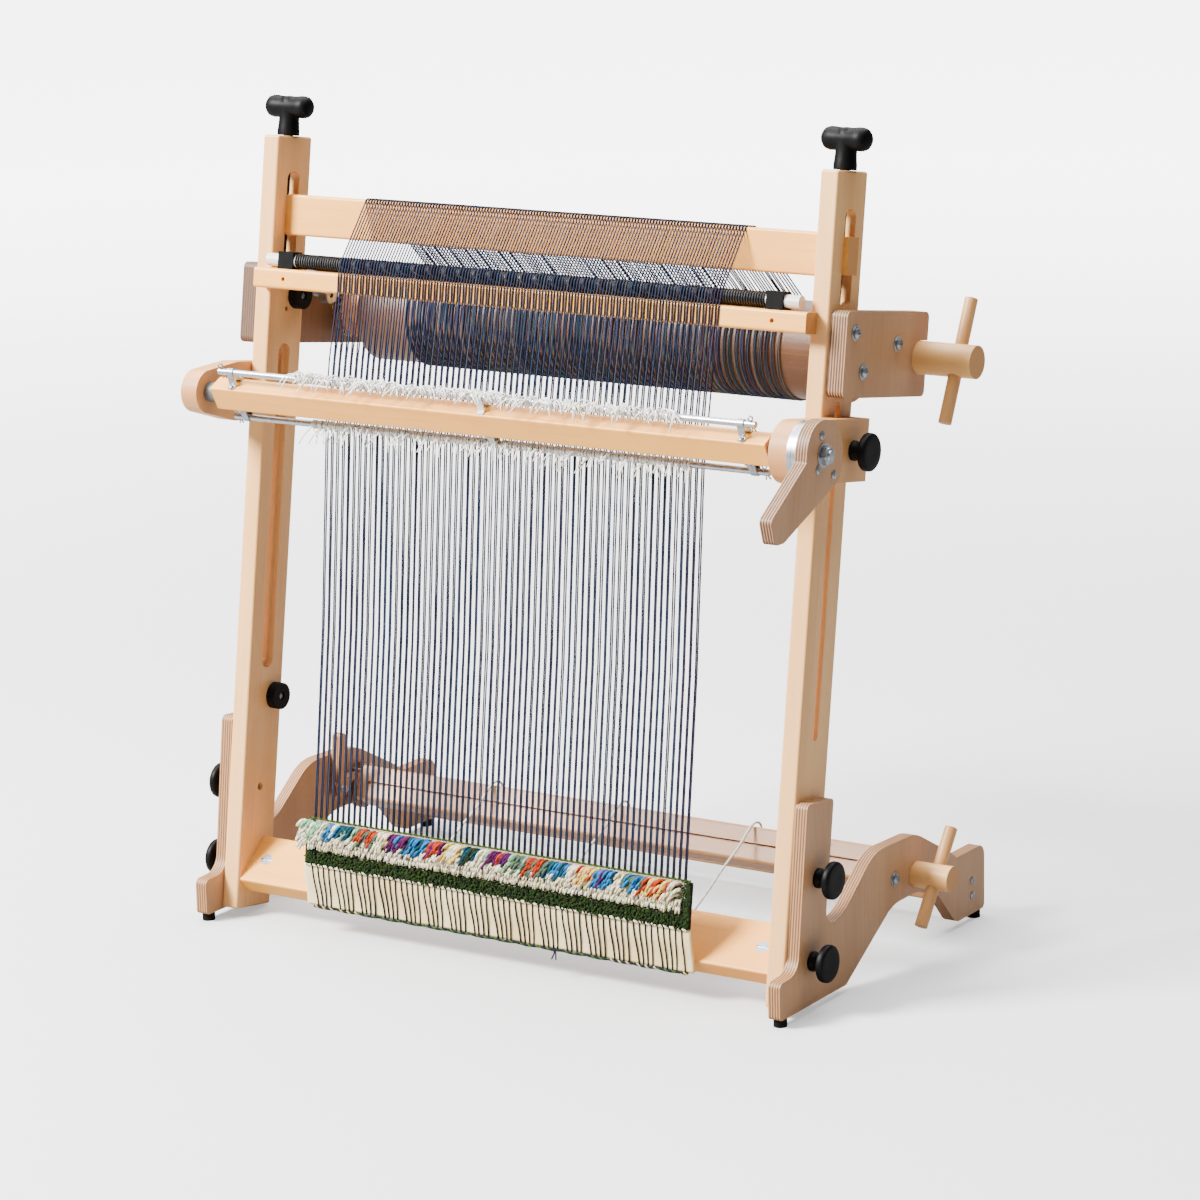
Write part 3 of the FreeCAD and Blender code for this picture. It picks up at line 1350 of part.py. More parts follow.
sheet = size("warp_sheet")
flat_out = size("warp_beam_flat") + layer + rest_gap + sheet / 2
leave = Vec(*beam_axis, 0) + flat_way * flat_out
over_back = (slot_line + size("board") / 2 + rest_gap + sheet, beam_top + rest_gap)
back_warp = strip("back_warp", leaning, warp_left, warp_width,
                  [(leave.x, leave.y), (over_back[0] + 0.6, over_back[1] - 0.6)], sheet)
open_warp(back_warp, (leave.y + size("warp_selvage"), over_back[1] - size("warp_selvage")))
over_front = (beam_front - rest_gap, beam_top + rest_gap + sheet / 2)
strip("beam_warp", leaning, warp_left, warp_width,
      [(over_back[0] - 1.6, beam_top + rest_gap + sheet / 2), over_front], sheet)
sheet_front = -bar_size - rest_gap - sheet / 2
heddle_stop = rod_depth - coil_outer - rest_gap - sheet / 2
front_line = [(over_front[0] - 0.8, over_front[1] - 0.6), (heddle_stop - 1.2, rod_height),
              (sheet_front, bar_high - 3), (sheet_front, bar_low + 2),
              (size("sample_depth"), size("sample_high") + 0.4)]
front_warp = strip("front_warp", leaning, warp_left, warp_width, front_line, sheet)
open_warp(front_warp, (size("sample_high") + size("warp_selvage"), bar_low - size("warp_selvage")),
          (rod_height + coil_outer + size("warp_selvage"), beam_top - size("warp_selvage")))

sample_left = warp_left - size("sample_spare")
sample_width = warp_width + 2 * size("sample_spare")
side_body("woven_sample", leaning, sample_left, sample_width,
          edges=rounded([(size("sample_depth") - size("sample_front"), size("sample_low"), 3),
                         (size("sample_depth") + size("sample_back"), size("sample_low"), 1),
                         (size("sample_depth") + size("sample_back"), size("sample_high"), 1),
                         (size("sample_depth") - size("sample_front"), size("sample_high") - 4, 3)]))

tip = turned([(-size("front_beam_width") / 2, size("board") / 2, 0),
              (-size("front_beam_width") / 2, -size("board") / 2, 0)], size("front_beam_angle"), front_centre)
strip_line = [(size("sample_depth") - 0.5, size("sample_low") - 0.4), (-7.5, 48),
              (tip[0][0] - 3.4, tip[0][1] + 2), (tip[0][0] - 1.6, tip[0][1] - 2.4)]
strip("cream_strip", leaning, sample_left, sample_width, strip_line, size("strip_thickness"))
to_level = leaning.inverse().multiply(level)
stick_in_lean = to_level.multVec(Vec(0, size("stick_depth"), size("stick_height")))
under = [(tip[0][0] - 1.6, tip[0][1] - 4.4), (tip[1][0] - 1.2, tip[1][1] - 1.6),
         (stick_in_lean.y - size("stick_radius") - rest_gap - 0.4, stick_in_lean.z)]
strip("lower_warp", leaning, warp_left, warp_width, under, sheet)
stick_left = warp_left - size("stick_spare")
keep("end_stick", dowel(stick_left, stick_left + warp_width + 2 * size("stick_spare"),
                        size("stick_depth"), size("stick_height"), "stick_radius", level))

# White cords from the cloth beam's upper side to the end stick

cord_places = [-150, 5, 160]
face_turn = math.radians(-face_angle)
along_face = Vec(0, -math.sin(face_turn), math.cos(face_turn))
out_of_face = Vec(0, -math.cos(face_turn), -math.sin(face_turn))
cloth_centre = Vec(0, *cloth_axis)
top_middle = cloth_centre + along_face * (size("cloth_beam_width") / 2)
crest = (cloth_centre + along_face * (size("cloth_beam_width") / 2 + 5)
         + out_of_face * (size("cloth_beam_thickness") / 2 - 2))
stick_centre = Vec(0, size("stick_depth"), size("stick_height"))
drop_way = (crest - stick_centre).normalize()
stick_top = stick_centre + drop_way * (size("stick_radius") + 0.05)
cords = []
for place in cord_places:
    run = crest - stick_top
    route = [top_middle, top_middle + along_face * 6.5, crest + out_of_face * 4 - along_face * 0.5]
    for share, sway in ((0.72, 1.2), (0.5, -0.8), (0.3, 0.6)):
        route.append(stick_top + run * share + Vec(sway, 0, -0.4))
    route.append(stick_top)
    route = [p + Vec(place, 0, 0) for p in route]
    edges, radii = cord_edges(route)
    print("cord at", place, "radii", radii)
    shape = tube(edges, size("cord_radius"))
    length = sum(edge.Length for edge in edges)
    print("cord length", round(length, 1), "volume ratio",
          round(shape.Volume / (math.pi * size("cord_radius") ** 2 * length), 4))
    cords.append(shape)
solid_feature("apron_cords", Part.makeCompound(cords), level)

# Heddles between the rods and the warp

heddles = []
middle_clip = size("middle_clip_place")
clip_half = size("rod_clip_width") / 2
for name, way in (("upper_heddles", 1), ("lower_heddles", -1)):
    at = rod_centre(way)
    share = (at.z - bar_low) / (size("sample_high") - bar_low)
    sheet_at = sheet_front + share * (size("sample_depth") - sheet_front)
    near = (at.y + size("heddle_rod_radius") + rest_gap + 0.3, at.z - 0.6)
    far = (sheet_at - sheet / 2 - rest_gap - 0.5, at.z - 4)
    margin = size("heddle_side_margin")
    spans = [(warp_left + margin, middle_clip - clip_half - rest_gap),
             (middle_clip + clip_half + rest_gap, warp_left + warp_width - margin)]
    for number, (start, end) in enumerate(spans, 1):
        strip("%s_%d" % (name, number), leaning, start, end - start, [near, far], size("heddle_sheet"))
        heddles.append(parts.pop("%s_%d" % (name, number)))
keep("heddles", together(heddles))

# Checks of the document, then one file for each sub-part

doc.recompute()
for item in doc.Objects:
    if "Invalid" in item.State or "Error" in item.State:
        raise RuntimeError("%s (%s) is %s" % (item.Name, item.Label, item.State))
    if item.TypeId == "PartDesign::Pocket" and not item.Shape.Volume < item.BaseFeature.Shape.Volume - 0.5:
        raise RuntimeError("%s in %s cuts nothing" % (item.Name, item.getParentGeoFeatureGroup().Label))
os.makedirs("parts", exist_ok=True)
whole = FreeCAD.BoundBox()
for name, item in parts.items():
    shape = item.Shape
    if shape.isNull() or not shape.isValid() or not shape.Solids:
        raise RuntimeError("%s has no valid solid" % name)
    if any(solid.Volume <= 0 for solid in shape.Solids):
        raise RuntimeError("%s has an inside-out solid" % name)
    whole.add(shape.optimalBoundingBox(False))
for name, item in parts.items():
    item.Shape.exportStep("parts/%s.step" % name)
print(len(parts), "sub-parts,", sum(len(item.Shape.Solids) for item in parts.values()), "solids")
print("low corner", round(whole.XMin, 2), round(whole.YMin, 2), round(whole.ZMin, 2))
print("high corner", round(whole.XMax, 2), round(whole.YMax, 2), round(whole.ZMax, 2))
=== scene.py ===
"""The looks of a table tapestry loom: wood, metal, moulded grips, yarn and a small woven sample."""

import logging
import math
import random
from collections.abc import Callable, Iterable, Sequence
from dataclasses import dataclass
from enum import Enum
from functools import lru_cache
from typing import Union

import bpy
import numpy as np
from mathutils import Matrix, Vector


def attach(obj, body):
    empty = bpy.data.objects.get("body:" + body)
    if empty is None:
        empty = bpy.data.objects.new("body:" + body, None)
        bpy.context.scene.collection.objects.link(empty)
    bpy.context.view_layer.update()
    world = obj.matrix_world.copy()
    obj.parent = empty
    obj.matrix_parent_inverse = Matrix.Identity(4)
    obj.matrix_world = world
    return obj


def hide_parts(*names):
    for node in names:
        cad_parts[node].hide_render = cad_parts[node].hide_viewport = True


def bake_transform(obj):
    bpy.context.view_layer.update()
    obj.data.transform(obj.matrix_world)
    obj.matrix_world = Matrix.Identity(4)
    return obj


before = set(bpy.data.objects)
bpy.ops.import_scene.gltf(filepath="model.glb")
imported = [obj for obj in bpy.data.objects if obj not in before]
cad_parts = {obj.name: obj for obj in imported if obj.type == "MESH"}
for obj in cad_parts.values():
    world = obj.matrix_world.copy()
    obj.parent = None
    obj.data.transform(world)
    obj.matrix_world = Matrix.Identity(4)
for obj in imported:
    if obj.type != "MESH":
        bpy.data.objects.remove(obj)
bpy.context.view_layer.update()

log = logging.getLogger("tapestry_loom")

Pair = tuple[float, float]
Triple = tuple[float, float, float]
Colour = Triple
Points = np.ndarray
Material = bpy.types.Material
Piece = bpy.types.Object
Number = Union[float, np.ndarray]
Value = Union["Signal", float, Sequence[float]]

LEFT, RIGHT = -1, 1
UPPER, LOWER = 1, -1
MM = 0.001
TURN = 2.0 * math.pi
ACROSS = np.array([1.0, 0.0, 0.0])
UPWARD = np.array([0.0, 0.0, 1.0])
UNDYED: Colour = (1.0, 1.0, 1.0)


# Where things are


@dataclass(frozen=True)
class LoomSpace:
    """The loom's level and leaning frames in millimetres, and their way into the row frame in metres."""

    side: float = 19.32
    depth: float = 150.59
    rise: float = 10.46
    lean: float = math.radians(8.825)

    def level(self, points: Sequence) -> Points:
        """Take (across, back, up) points of the level frame into the row frame."""
        return (np.asarray(points, float) - [self.side, self.depth, 0.0]) * MM

    def leaning(self, points: Sequence) -> Points:
        """Take points of the uprights' frame into the row frame.

        Args:
            points: One or more (across, depth behind the front faces, height along the uprights) points.

        Returns:
            The same points in metres.
        """
        given = np.asarray(points, float)
        x, v, u = given[..., 0], given[..., 1], given[..., 2]
        y = v * math.cos(self.lean) + u * math.sin(self.lean)
        z = self.rise - v * math.sin(self.lean) + u * math.cos(self.lean)
        return self.level(np.stack([x, y, z], axis=-1))

    def direction(self, way: Sequence[float]) -> Points:
        """Turn a direction of the uprights' frame into the row frame."""
        return (self.leaning(way) - self.leaning([0.0, 0.0, 0.0])) / MM


SPACE = LoomSpace()


def around(count: int) -> Points:
    """Return evenly spaced angles round a circle."""
    return np.arange(count) * (TURN / count)


def columns(*values: Number) -> Points:
    """Return points whose numbers are given one by one, as arrays or as single numbers."""
    return np.stack(np.broadcast_arrays(*values), axis=-1)


def arc(centre: Pair, radius: Number, angles: Number) -> tuple[Points, Points]:
    """Return the depths and heights of points round a centre."""
    return centre[0] + radius * np.cos(angles), centre[1] + radius * np.sin(angles)


def run_along(points: Sequence) -> Points:
    """Return how far along a line each of its points lies."""
    return np.concatenate([[0.0], np.cumsum(np.linalg.norm(np.diff(points, axis=0), axis=1))])


def square_to(axis: Points) -> tuple[Points, Points]:
    """Return two directions at right angles to an axis and to each other."""
    first = np.cross(UPWARD if abs(axis[2]) < 0.9 else ACROSS, axis)
    first = first / np.linalg.norm(first)
    return first, np.cross(axis, first)


def spaced_line(points: Points, step_mm: float) -> Points:
    """Fill a line with points at most a step apart.

    Args:
        points: The line's corners.
        step_mm: The step.

    Returns:
        The finer line.
    """
    out = [points[0]]
    for a, b in zip(points[:-1], points[1:]):
        count = max(1, int(math.ceil(np.linalg.norm(b - a) / step_mm)))
        out.extend(a + (b - a) * (k / count) for k in range(1, count + 1))
    return np.array(out)


def varied(colour: Colour, chance: random.Random, low: float, high: float) -> Colour:
    """Return a colour whose channels are each scaled by chance."""
    return tuple(channel * chance.uniform(low, high) for channel in colour)


# Shader graphs


def math_method(operation: str, swapped: bool = False) -> Callable:
    """Write a method that adds one Math node.

    Args:
        operation: The node's operation.
        swapped: Whether the other value comes first.

    Returns:
        The method.
    """

    def method(self: "Signal", other: Value = 0.0) -> "Signal":
        """Return the result for the signal, and for the other value if the operation takes two."""
        first, second = (other, self) if swapped else (self, other)
        return self.graph.node("ShaderNodeMath", {"operation": operation}, {0: first, 1: second})

    return method


class Signal:
    """A shader socket that takes part in sums as a number does."""

    __add__, __radd__ = math_method("ADD"), math_method("ADD", swapped=True)
    __sub__, __rsub__ = math_method("SUBTRACT"), math_method("SUBTRACT", swapped=True)
    __mul__, __rmul__ = math_method("MULTIPLY"), math_method("MULTIPLY", swapped=True)
    __abs__, fraction = math_method("ABSOLUTE"), math_method("FRACT")
    sine, cosine = math_method("SINE"), math_method("COSINE")

    def __init__(self, graph: "Graph", socket: bpy.types.NodeSocket) -> None:
        """Keep a socket and the graph that it belongs to."""
        self.graph, self.socket = graph, socket

    def smooth(self, low: float, high: float) -> "Signal":
        """Rise smoothly from 0 at low to 1 at high."""
        ends = {"Value": self, "From Min": low, "From Max": high}
        return self.graph.node("ShaderNodeMapRange", {"interpolation_type": "SMOOTHSTEP"}, ends)


class Graph:
    """The nodes of one material."""

    def __init__(self, name: str) -> None:
        """Start a material with a principled shader.

        Args:
            name: The material's name.
        """
        self.material = bpy.data.materials.new(name)
        self.material.use_nodes = True
        self.tree = self.material.node_tree
        self.tree.nodes.clear()
        self.shader = self.tree.nodes.new("ShaderNodeBsdfPrincipled")
        output = self.tree.nodes.new("ShaderNodeOutputMaterial")
        self.tree.links.new(self.shader.outputs[0], output.inputs[0])

    def feed(self, socket: bpy.types.NodeSocket, value: Value) -> None:
        """Link a signal to a socket, or set its number or colour.

        Args:
            socket: The socket.
            value: The signal, number or colour.
        """
        if isinstance(value, Signal):
            self.tree.links.new(value.socket, socket)
        else:
            socket.default_value = (*value[:3], 1.0) if socket.type == "RGBA" else value

    def node(
        self,
        kind: str,
        settings: dict[str, object] | None = None,
        inputs: dict[Union[int, str], Value] | None = None,
        output: Union[int, str] = 0,
    ) -> Signal:
        """Add one node.

        Args:
            kind: The node's type.
            settings: Its properties.
            inputs: What feeds its sockets, by name or number.
            output: The socket to hand back.

        Returns:
            The chosen output.
        """
        node = self.tree.nodes.new(kind)
        for key, value in (settings or {}).items():
            setattr(node, key, value)
        for key, value in (inputs or {}).items():
            self.feed(node.inputs[key], value)
        return Signal(self, node.outputs[output])

    def ramp(self, share: Signal, stops: Sequence[tuple[float, Colour]]) -> Signal:
        """Return a colour from a ramp.

        Args:
            share: Where the ramp is read.
            stops: Its (place, colour) pairs.

        Returns:
            The colour.
        """
        found = self.node("ShaderNodeValToRGB", inputs={0: share})
        elements = found.socket.node.color_ramp.elements
        while len(elements) < len(stops):
            elements.new(0.5)
        for element, (place, colour) in zip(elements, stops):
            element.position = place
            element.color = (*colour, 1.0)
        return found

    def place(self) -> Signal:
        """Return the point on the piece, in the row frame at rest."""
        return self.node("ShaderNodeTexCoord", output="Object")

    def facing(self) -> Signal:
        """Return the way that the surface faces at rest."""
        return self.node("ShaderNodeTexCoord", output="Normal")

    def leaned(self, vector: Signal) -> Signal:
        """Turn a vector into the uprights' frame."""
        turn = {"Vector": vector, "Angle": SPACE.lean}
        return self.node("ShaderNodeVectorRotate", {"rotation_type": "X_AXIS"}, turn)

    def split(self, vector: Signal) -> list[Signal]:
        """Return a vector's three numbers."""
        node = self.node("ShaderNodeSeparateXYZ", inputs={0: vector}).socket.node
        return [Signal(self, socket) for socket in node.outputs]

    def join(self, x: Value, y: Value, z: Value) -> Signal:
        """Return a vector from three numbers."""
        return self.node("ShaderNodeCombineXYZ", inputs={0: x, 1: y, 2: z})

    def noise(self, place: Signal, scale: float = 1.0, detail: float = 2.0, rough: float = 0.5) -> Signal:
        """Return smooth noise about 0.5, with finer layers of the given number and strength."""
        inputs = {"Vector": place, "Scale": scale, "Detail": detail, "Roughness": rough}
        return self.node("ShaderNodeTexNoise", inputs=inputs)

    def mix(self, share: Value, first: Value, second: Value, blend: str = "MIX") -> Signal:
        """Mix a share of the second colour into the first."""
        settings = {"data_type": "RGBA", "blend_type": blend}
        return self.node("ShaderNodeMix", settings, {0: share, 6: first, 7: second}, output=2)

    def bump(self, height: Signal, depth_mm: float, strength: float) -> Signal:
        """Return the normal of a height that runs from 0 to a depth in millimetres."""
        inputs = {"Strength": strength, "Distance": depth_mm * MM, "Height": height}
        return self.node("ShaderNodeBump", inputs=inputs)

    def finish(self, colour: Value, roughness: Value, **more: Value) -> Material:
        """Feed the shader.

        Args:
            colour: The base colour.
            roughness: The roughness.
            **more: What feeds its other sockets, with _ for the spaces in their names.

        Returns:
            The finished material.
        """
        for name, value in {"Base Color": colour, "Roughness": roughness, **more}.items():
            self.feed(self.shader.inputs[name.replace("_", " ")], value)
        return self.material


# Finishes


@dataclass(frozen=True)
class Layer:
    """A layer of noise in a finish: its features to a metre, and how much of a tone it lays on."""

    scales: Triple
    low: float
    high: float
    share: float = 1.0
    detail: float = 2.0
    rough: float = 0.5

    def read(self, graph: Graph, parts: Sequence[Value]) -> Signal:
        """Return the noise at a place that is given by its three numbers."""
        place = graph.join(*(part * scale for part, scale in zip(parts, self.scales)))
        return graph.noise(place, detail=self.detail, rough=self.rough)

    def lay(self, noise: Signal, colour: Value, tone: Value) -> Signal:
        """Lay a tone on a colour where the noise is high."""
        return noise.graph.mix(noise.smooth(self.low, self.high) * self.share, colour, tone)


class Grain(Enum):
    """Which way the wood's fibres run; each value lists the run, the width and the thickness."""

    ACROSS = (0, 1, 2)
    BACKWARD = (1, 0, 2)
    UPWARD = (2, 0, 1)


@dataclass(frozen=True)
class Timber:
    """Pale lacquered maple or birch."""

    name: str
    grain: Grain
    pale: Colour = (0.80, 0.445, 0.17)
    deep: Colour = (0.72, 0.365, 0.12)
    vein: Colour = (0.48, 0.21, 0.06)
    end: Colour = (0.46, 0.195, 0.06)
    leans: bool = True
    bands: Layer = Layer((1.6, 26.0, 26.0), 0.34, 0.68, detail=3.0)
    figure: Layer = Layer((14.0, 17.0, 17.0), 0.5, 0.8, 0.3)
    lines: Layer = Layer((7.0, 420.0, 420.0), 0.52, 0.80, 0.38, 4.0, 0.6)
    flecks: Layer = Layer((170.0, 1500.0, 1500.0), 0.66, 0.78, 0.42, 1.0)
    pores: Layer = Layer((1900.0, 1900.0, 1900.0), 0.4, 0.75, 0.45, 1.0)

    def material(self) -> Material:
        """Return the wood's material."""
        graph = Graph(self.name)
        turn = graph.leaned if self.leans else (lambda vector: vector)
        place, facing = graph.split(turn(graph.place())), graph.split(turn(graph.facing()))
        parts = [place[i] for i in self.grain.value]
        lines, flecks = self.lines.read(graph, parts), self.flecks.read(graph, parts)
        colour = self.bands.lay(self.bands.read(graph, parts), self.pale, self.deep)
        colour = self.figure.lay(self.figure.read(graph, parts), colour, self.deep)
        colour = self.flecks.lay(flecks, self.lines.lay(lines, colour, self.vein), self.vein)
        sawn = abs(facing[self.grain.value[0]]).smooth(0.72, 0.92)
        pores = self.pores.read(graph, graph.split(graph.place()))
        colour = graph.mix(sawn * 0.8, colour, self.pores.lay(pores, self.end, self.vein))
        normal = graph.bump(lines * 0.6 + flecks * 0.4, 0.05, 0.5)
        rough = 0.40 + lines * 0.14 + sawn * 0.15
        return graph.finish(colour, rough, Normal=normal, Coat_Weight=0.12, Coat_Roughness=0.3)


@dataclass(frozen=True)
class Plywood:
    """Birch plywood: a pale face and layered edges, whose layers lie across the loom."""

    name: str
    leans: bool = True
    ply_mm: float = 2.82
    first_mm: float = 327.4
    face: Colour = (0.50, 0.265, 0.125)
    shade: Colour = (0.43, 0.215, 0.095)
    vein: Colour = (0.30, 0.13, 0.05)
    long_ply: Colour = (0.40, 0.19, 0.065)
    end_ply: Colour = (0.105, 0.038, 0.012)
    glue: Colour = (0.030, 0.010, 0.004)
    long_share: float = 0.46
    bands: Layer = Layer((20.0, 22.0, 2.0), 0.32, 0.70, detail=3.0)
    lines: Layer = Layer((300.0, 380.0, 9.0), 0.5, 0.8, 0.4, 4.0, 0.6)
    flecks: Layer = Layer((900.0, 1300.0, 140.0), 0.62, 0.76, 0.35, 1.0)
    wander: Layer = Layer((60.0, 25.0, 25.0), 0.0, 1.0)
    streak: Layer = Layer((1400.0, 90.0, 90.0), 0.35, 0.8, 0.18, 3.0)

    def edge(self, layer: Signal) -> Signal:
        """Return the colours of one long ply and one end ply with the glue between them.

        Args:
            layer: How far the place is through the two plies, from 0 to 1.

        Returns:
            The colour.
        """
        half = self.long_share
        stops = [(0.0, self.glue), (0.05, self.long_ply), (half, self.long_ply)]
        stops += [(half + 0.04, self.glue), (half + 0.10, self.end_ply), (0.97, self.end_ply)]
        return layer.graph.ramp(layer, stops)

    def material(self) -> Material:
        """Return the plywood's material."""
        graph = Graph(self.name)
        parts = graph.split(graph.place())
        leaned = graph.split(graph.leaned(graph.place())) if self.leans else parts
        lines = self.lines.read(graph, leaned)
        veneer = self.bands.lay(self.bands.read(graph, leaned), self.face, self.shade)
        veneer = self.lines.lay(lines, veneer, self.vein)
        veneer = self.flecks.lay(self.flecks.read(graph, leaned), veneer, self.vein)
        depth = abs(parts[0] + SPACE.side * MM) * (1.0 / MM)
        plies = (depth - self.first_mm + 10 * self.ply_mm) * (1.0 / self.ply_mm)
        streak = self.streak.read(graph, parts)
        edge = self.edge((plies + self.wander.read(graph, parts) * 0.12).fraction())
        edge = self.streak.lay(streak, edge, self.face)
        flat = abs(graph.split(graph.facing())[0]).smooth(0.55, 0.75)
        normal = graph.bump(lines * flat + (1.0 - flat) * streak, 0.07, 0.6)
        rough = 0.56 - flat * 0.14 + lines * 0.12
        colour = graph.mix(flat, edge, veneer)
        return graph.finish(colour, rough, Normal=normal, Coat_Weight=0.08, Coat_Roughness=0.35)


@dataclass(frozen=True)
class Moulded:
    """Moulded plastic or rubber with a faint texture."""

    name: str
    colour: Colour
    light: Colour
    roughness: float = 0.38
    grit_mm: float = 0.03
    shine: float = 0.5

    def material(self) -> Material:
        """Return the plastic's material."""
        graph = Graph(self.name)
        place = graph.place()
        cloud = graph.noise(place, 90.0, 3.0)
        scuffs = graph.noise(place, 420.0, 5.0, 0.7).smooth(0.62, 0.75)
        colour = graph.mix(cloud.smooth(0.35, 0.75) * 0.6 + scuffs * 0.3, self.colour, self.light)
        normal = graph.bump(graph.noise(place, 2600.0), self.grit_mm, 0.6)
        rough = self.roughness + cloud * 0.10 + scuffs * 0.12
        return graph.finish(colour, rough, Normal=normal, Specular_IOR_Level=self.shine)


@dataclass(frozen=True)
class Metal:
    """Plated or drawn steel."""

    name: str
    bright: Colour
    dull: Colour
    roughness: float = 0.26
    along: float = 700.0

    def material(self) -> Material:
        """Return the metal's material."""
        graph = Graph(self.name)
        place = graph.place()
        cloud = graph.noise(place, 160.0, 4.0, 0.6)
        brushed = Layer((self.along, 2600.0, 2600.0), 0.0, 1.0, detail=3.0).read(graph, graph.split(place))
        colour = graph.mix(cloud.smooth(0.32, 0.72), self.bright, self.dull)
        rough = self.roughness + brushed * 0.16 + cloud * 0.08
        return graph.finish(colour, rough, Normal=graph.bump(brushed, 0.02, 0.5), Metallic=1.0)


@dataclass(frozen=True)
class Yarn:
    """Twisted yarn or cord, dyed strand by strand."""

    name: str
    twist_mm: float = 2.6
    plies: int = 2
    fuzz_mm: float = 0.16
    shade: float = 0.45
    sheen: float = 0.25
    drift: Layer = Layer((55.0, 0.6, 0.6), 0.35, 0.75, 0.35)

    def material(self) -> Material:
        """Return the yarn's material."""
        graph = Graph(self.name)
        dye = graph.node("ShaderNodeAttribute", {"attribute_name": "dye"}, output="Color")
        strand = graph.node("ShaderNodeAttribute", {"attribute_name": "strand"}, output="Vector")
        along, cosine, sine = graph.split(strand)
        turn = along * (TURN / (self.twist_mm * MM))
        wave = sine * turn.cosine() + cosine * turn.sine()
        ridge = abs(wave) if self.plies == 2 else wave * 0.5 + 0.5
        fibres = graph.noise(graph.place(), 3200.0, 3.0, 0.65)
        # The darker dye serves both the painted shade in the grooves between the plies, where the ridge is
        # low, and the yarn's own uneven tone of fibres and drift.
        dark = graph.mix(1.0, dye, (1.0 - self.shade,) * 3, blend="MULTIPLY")
        colour = graph.mix((1.0 - ridge.smooth(0.05, 0.7)) * 0.8, dye, dark)
        colour = graph.mix(fibres.smooth(0.45, 0.8) * 0.30, colour, dark)
        colour = self.drift.lay(self.drift.read(graph, (along, cosine, sine)), colour, dark)
        normal = graph.bump(ridge * 0.7 + fibres * 0.5, self.fuzz_mm, 0.8)
        sheen = {"Sheen Weight": self.sheen, "Sheen Roughness": 0.5, "Specular IOR Level": 0.1}
        return graph.finish(colour, 0.82 + fibres * 0.12, Normal=normal, **sheen)


@dataclass(frozen=True)
class PlainCloth:
    """Closely woven cotton, cream with a few slubs."""

    name: str
    light: Colour = (0.80, 0.66, 0.36)
    warm: Colour = (0.70, 0.53, 0.24)
    thread_mm: float = 0.62
    slub: Layer = Layer((40.0, 0.0, 900.0), 0.6, 0.75)

    def material(self) -> Material:
        """Return the cloth's material."""
        graph = Graph(self.name)
        parts = graph.split(graph.place())
        step = math.pi / (self.thread_mm * MM)
        over = (parts[0] * step).sine() * (parts[2] * step).sine()
        slubs = self.slub.read(graph, parts).smooth(self.slub.low, self.slub.high)
        colour = graph.mix(graph.noise(graph.place(), 22.0, 3.0).smooth(0.3, 0.75), self.light, self.warm)
        # Painted shade: warmer and darker where the weave dips under, at the low points of the bump.
        colour = graph.mix(over.smooth(-1.0, 0.2) * -0.25 + 0.25, colour, self.warm)
        colour = graph.mix(slubs * 0.25, colour, self.warm)
        normal = graph.bump(over * 0.5 + slubs * 0.4, 0.12, 0.6)
        return graph.finish(colour, 0.85, Normal=normal, Sheen_Weight=0.15)


@dataclass(frozen=True)
class BraidedCord:
    """White braided cotton cord."""

    name: str
    light: Colour = (0.76, 0.74, 0.68)
    dark: Colour = (0.42, 0.40, 0.34)

    def material(self) -> Material:
        """Return the cord's material."""
        graph = Graph(self.name)
        x, y, z = (part * scale for part, scale in zip(graph.split(graph.place()), (1500.0, 2600.0, 900.0)))
        slant = (y + x + z).sine() * (y - x - z).sine()
        fibres = graph.noise(graph.place(), 2800.0, 3.0)
        # Painted shade in the braid's grooves, where the slant is high and the bump is low; the fibre noise
        # is the cord's own tone.
        colour = graph.mix(slant.smooth(-0.2, 0.8) * 0.5 + fibres * 0.2, self.light, self.dark)
        return graph.finish(colour, 0.85, Normal=graph.bump(1.0 - slant.smooth(-0.3, 0.9), 0.15, 0.8))


@dataclass(frozen=True)
class StudioFloor:
    """A pale floor that glows for the camera with painted light, faintly near the loom and up to white far
    from it, and gives little light back to it.
    """

    name: str = "studio_floor"
    seen: Colour = (0.60, 0.60, 0.603)
    unseen: Colour = (0.30, 0.30, 0.30)
    near_glow: float = 0.5
    far_glow: float = 6.0
    fade: Pair = (1.0, 6.0)

    def material(self) -> Material:
        """Return the floor's material."""
        graph = Graph(self.name)
        x, y, _ = graph.split(graph.place())
        reach = graph.node(
            "ShaderNodeVectorMath", {"operation": "LENGTH"}, {0: graph.join(x, y, 0.0)}, output="Value"
        )
        # Painted light: camera rays see the floor glow, faintly near the loom and strongly far from it; other
        # rays see no glow.
        glow = reach.smooth(*self.fade) * (self.far_glow - self.near_glow) + self.near_glow
        white = graph.node("ShaderNodeCombineColor", inputs={0: glow, 1: glow, 2: glow})
        lit = graph.node("ShaderNodeLightPath", output="Is Camera Ray")
        glow = {"Emission Color": graph.mix(lit, (0.0, 0.0, 0.0), white), "Emission Strength": 1.0}
        return graph.finish(graph.mix(lit, self.unseen, self.seen), 0.8, Specular_IOR_Level=0.1, **glow)


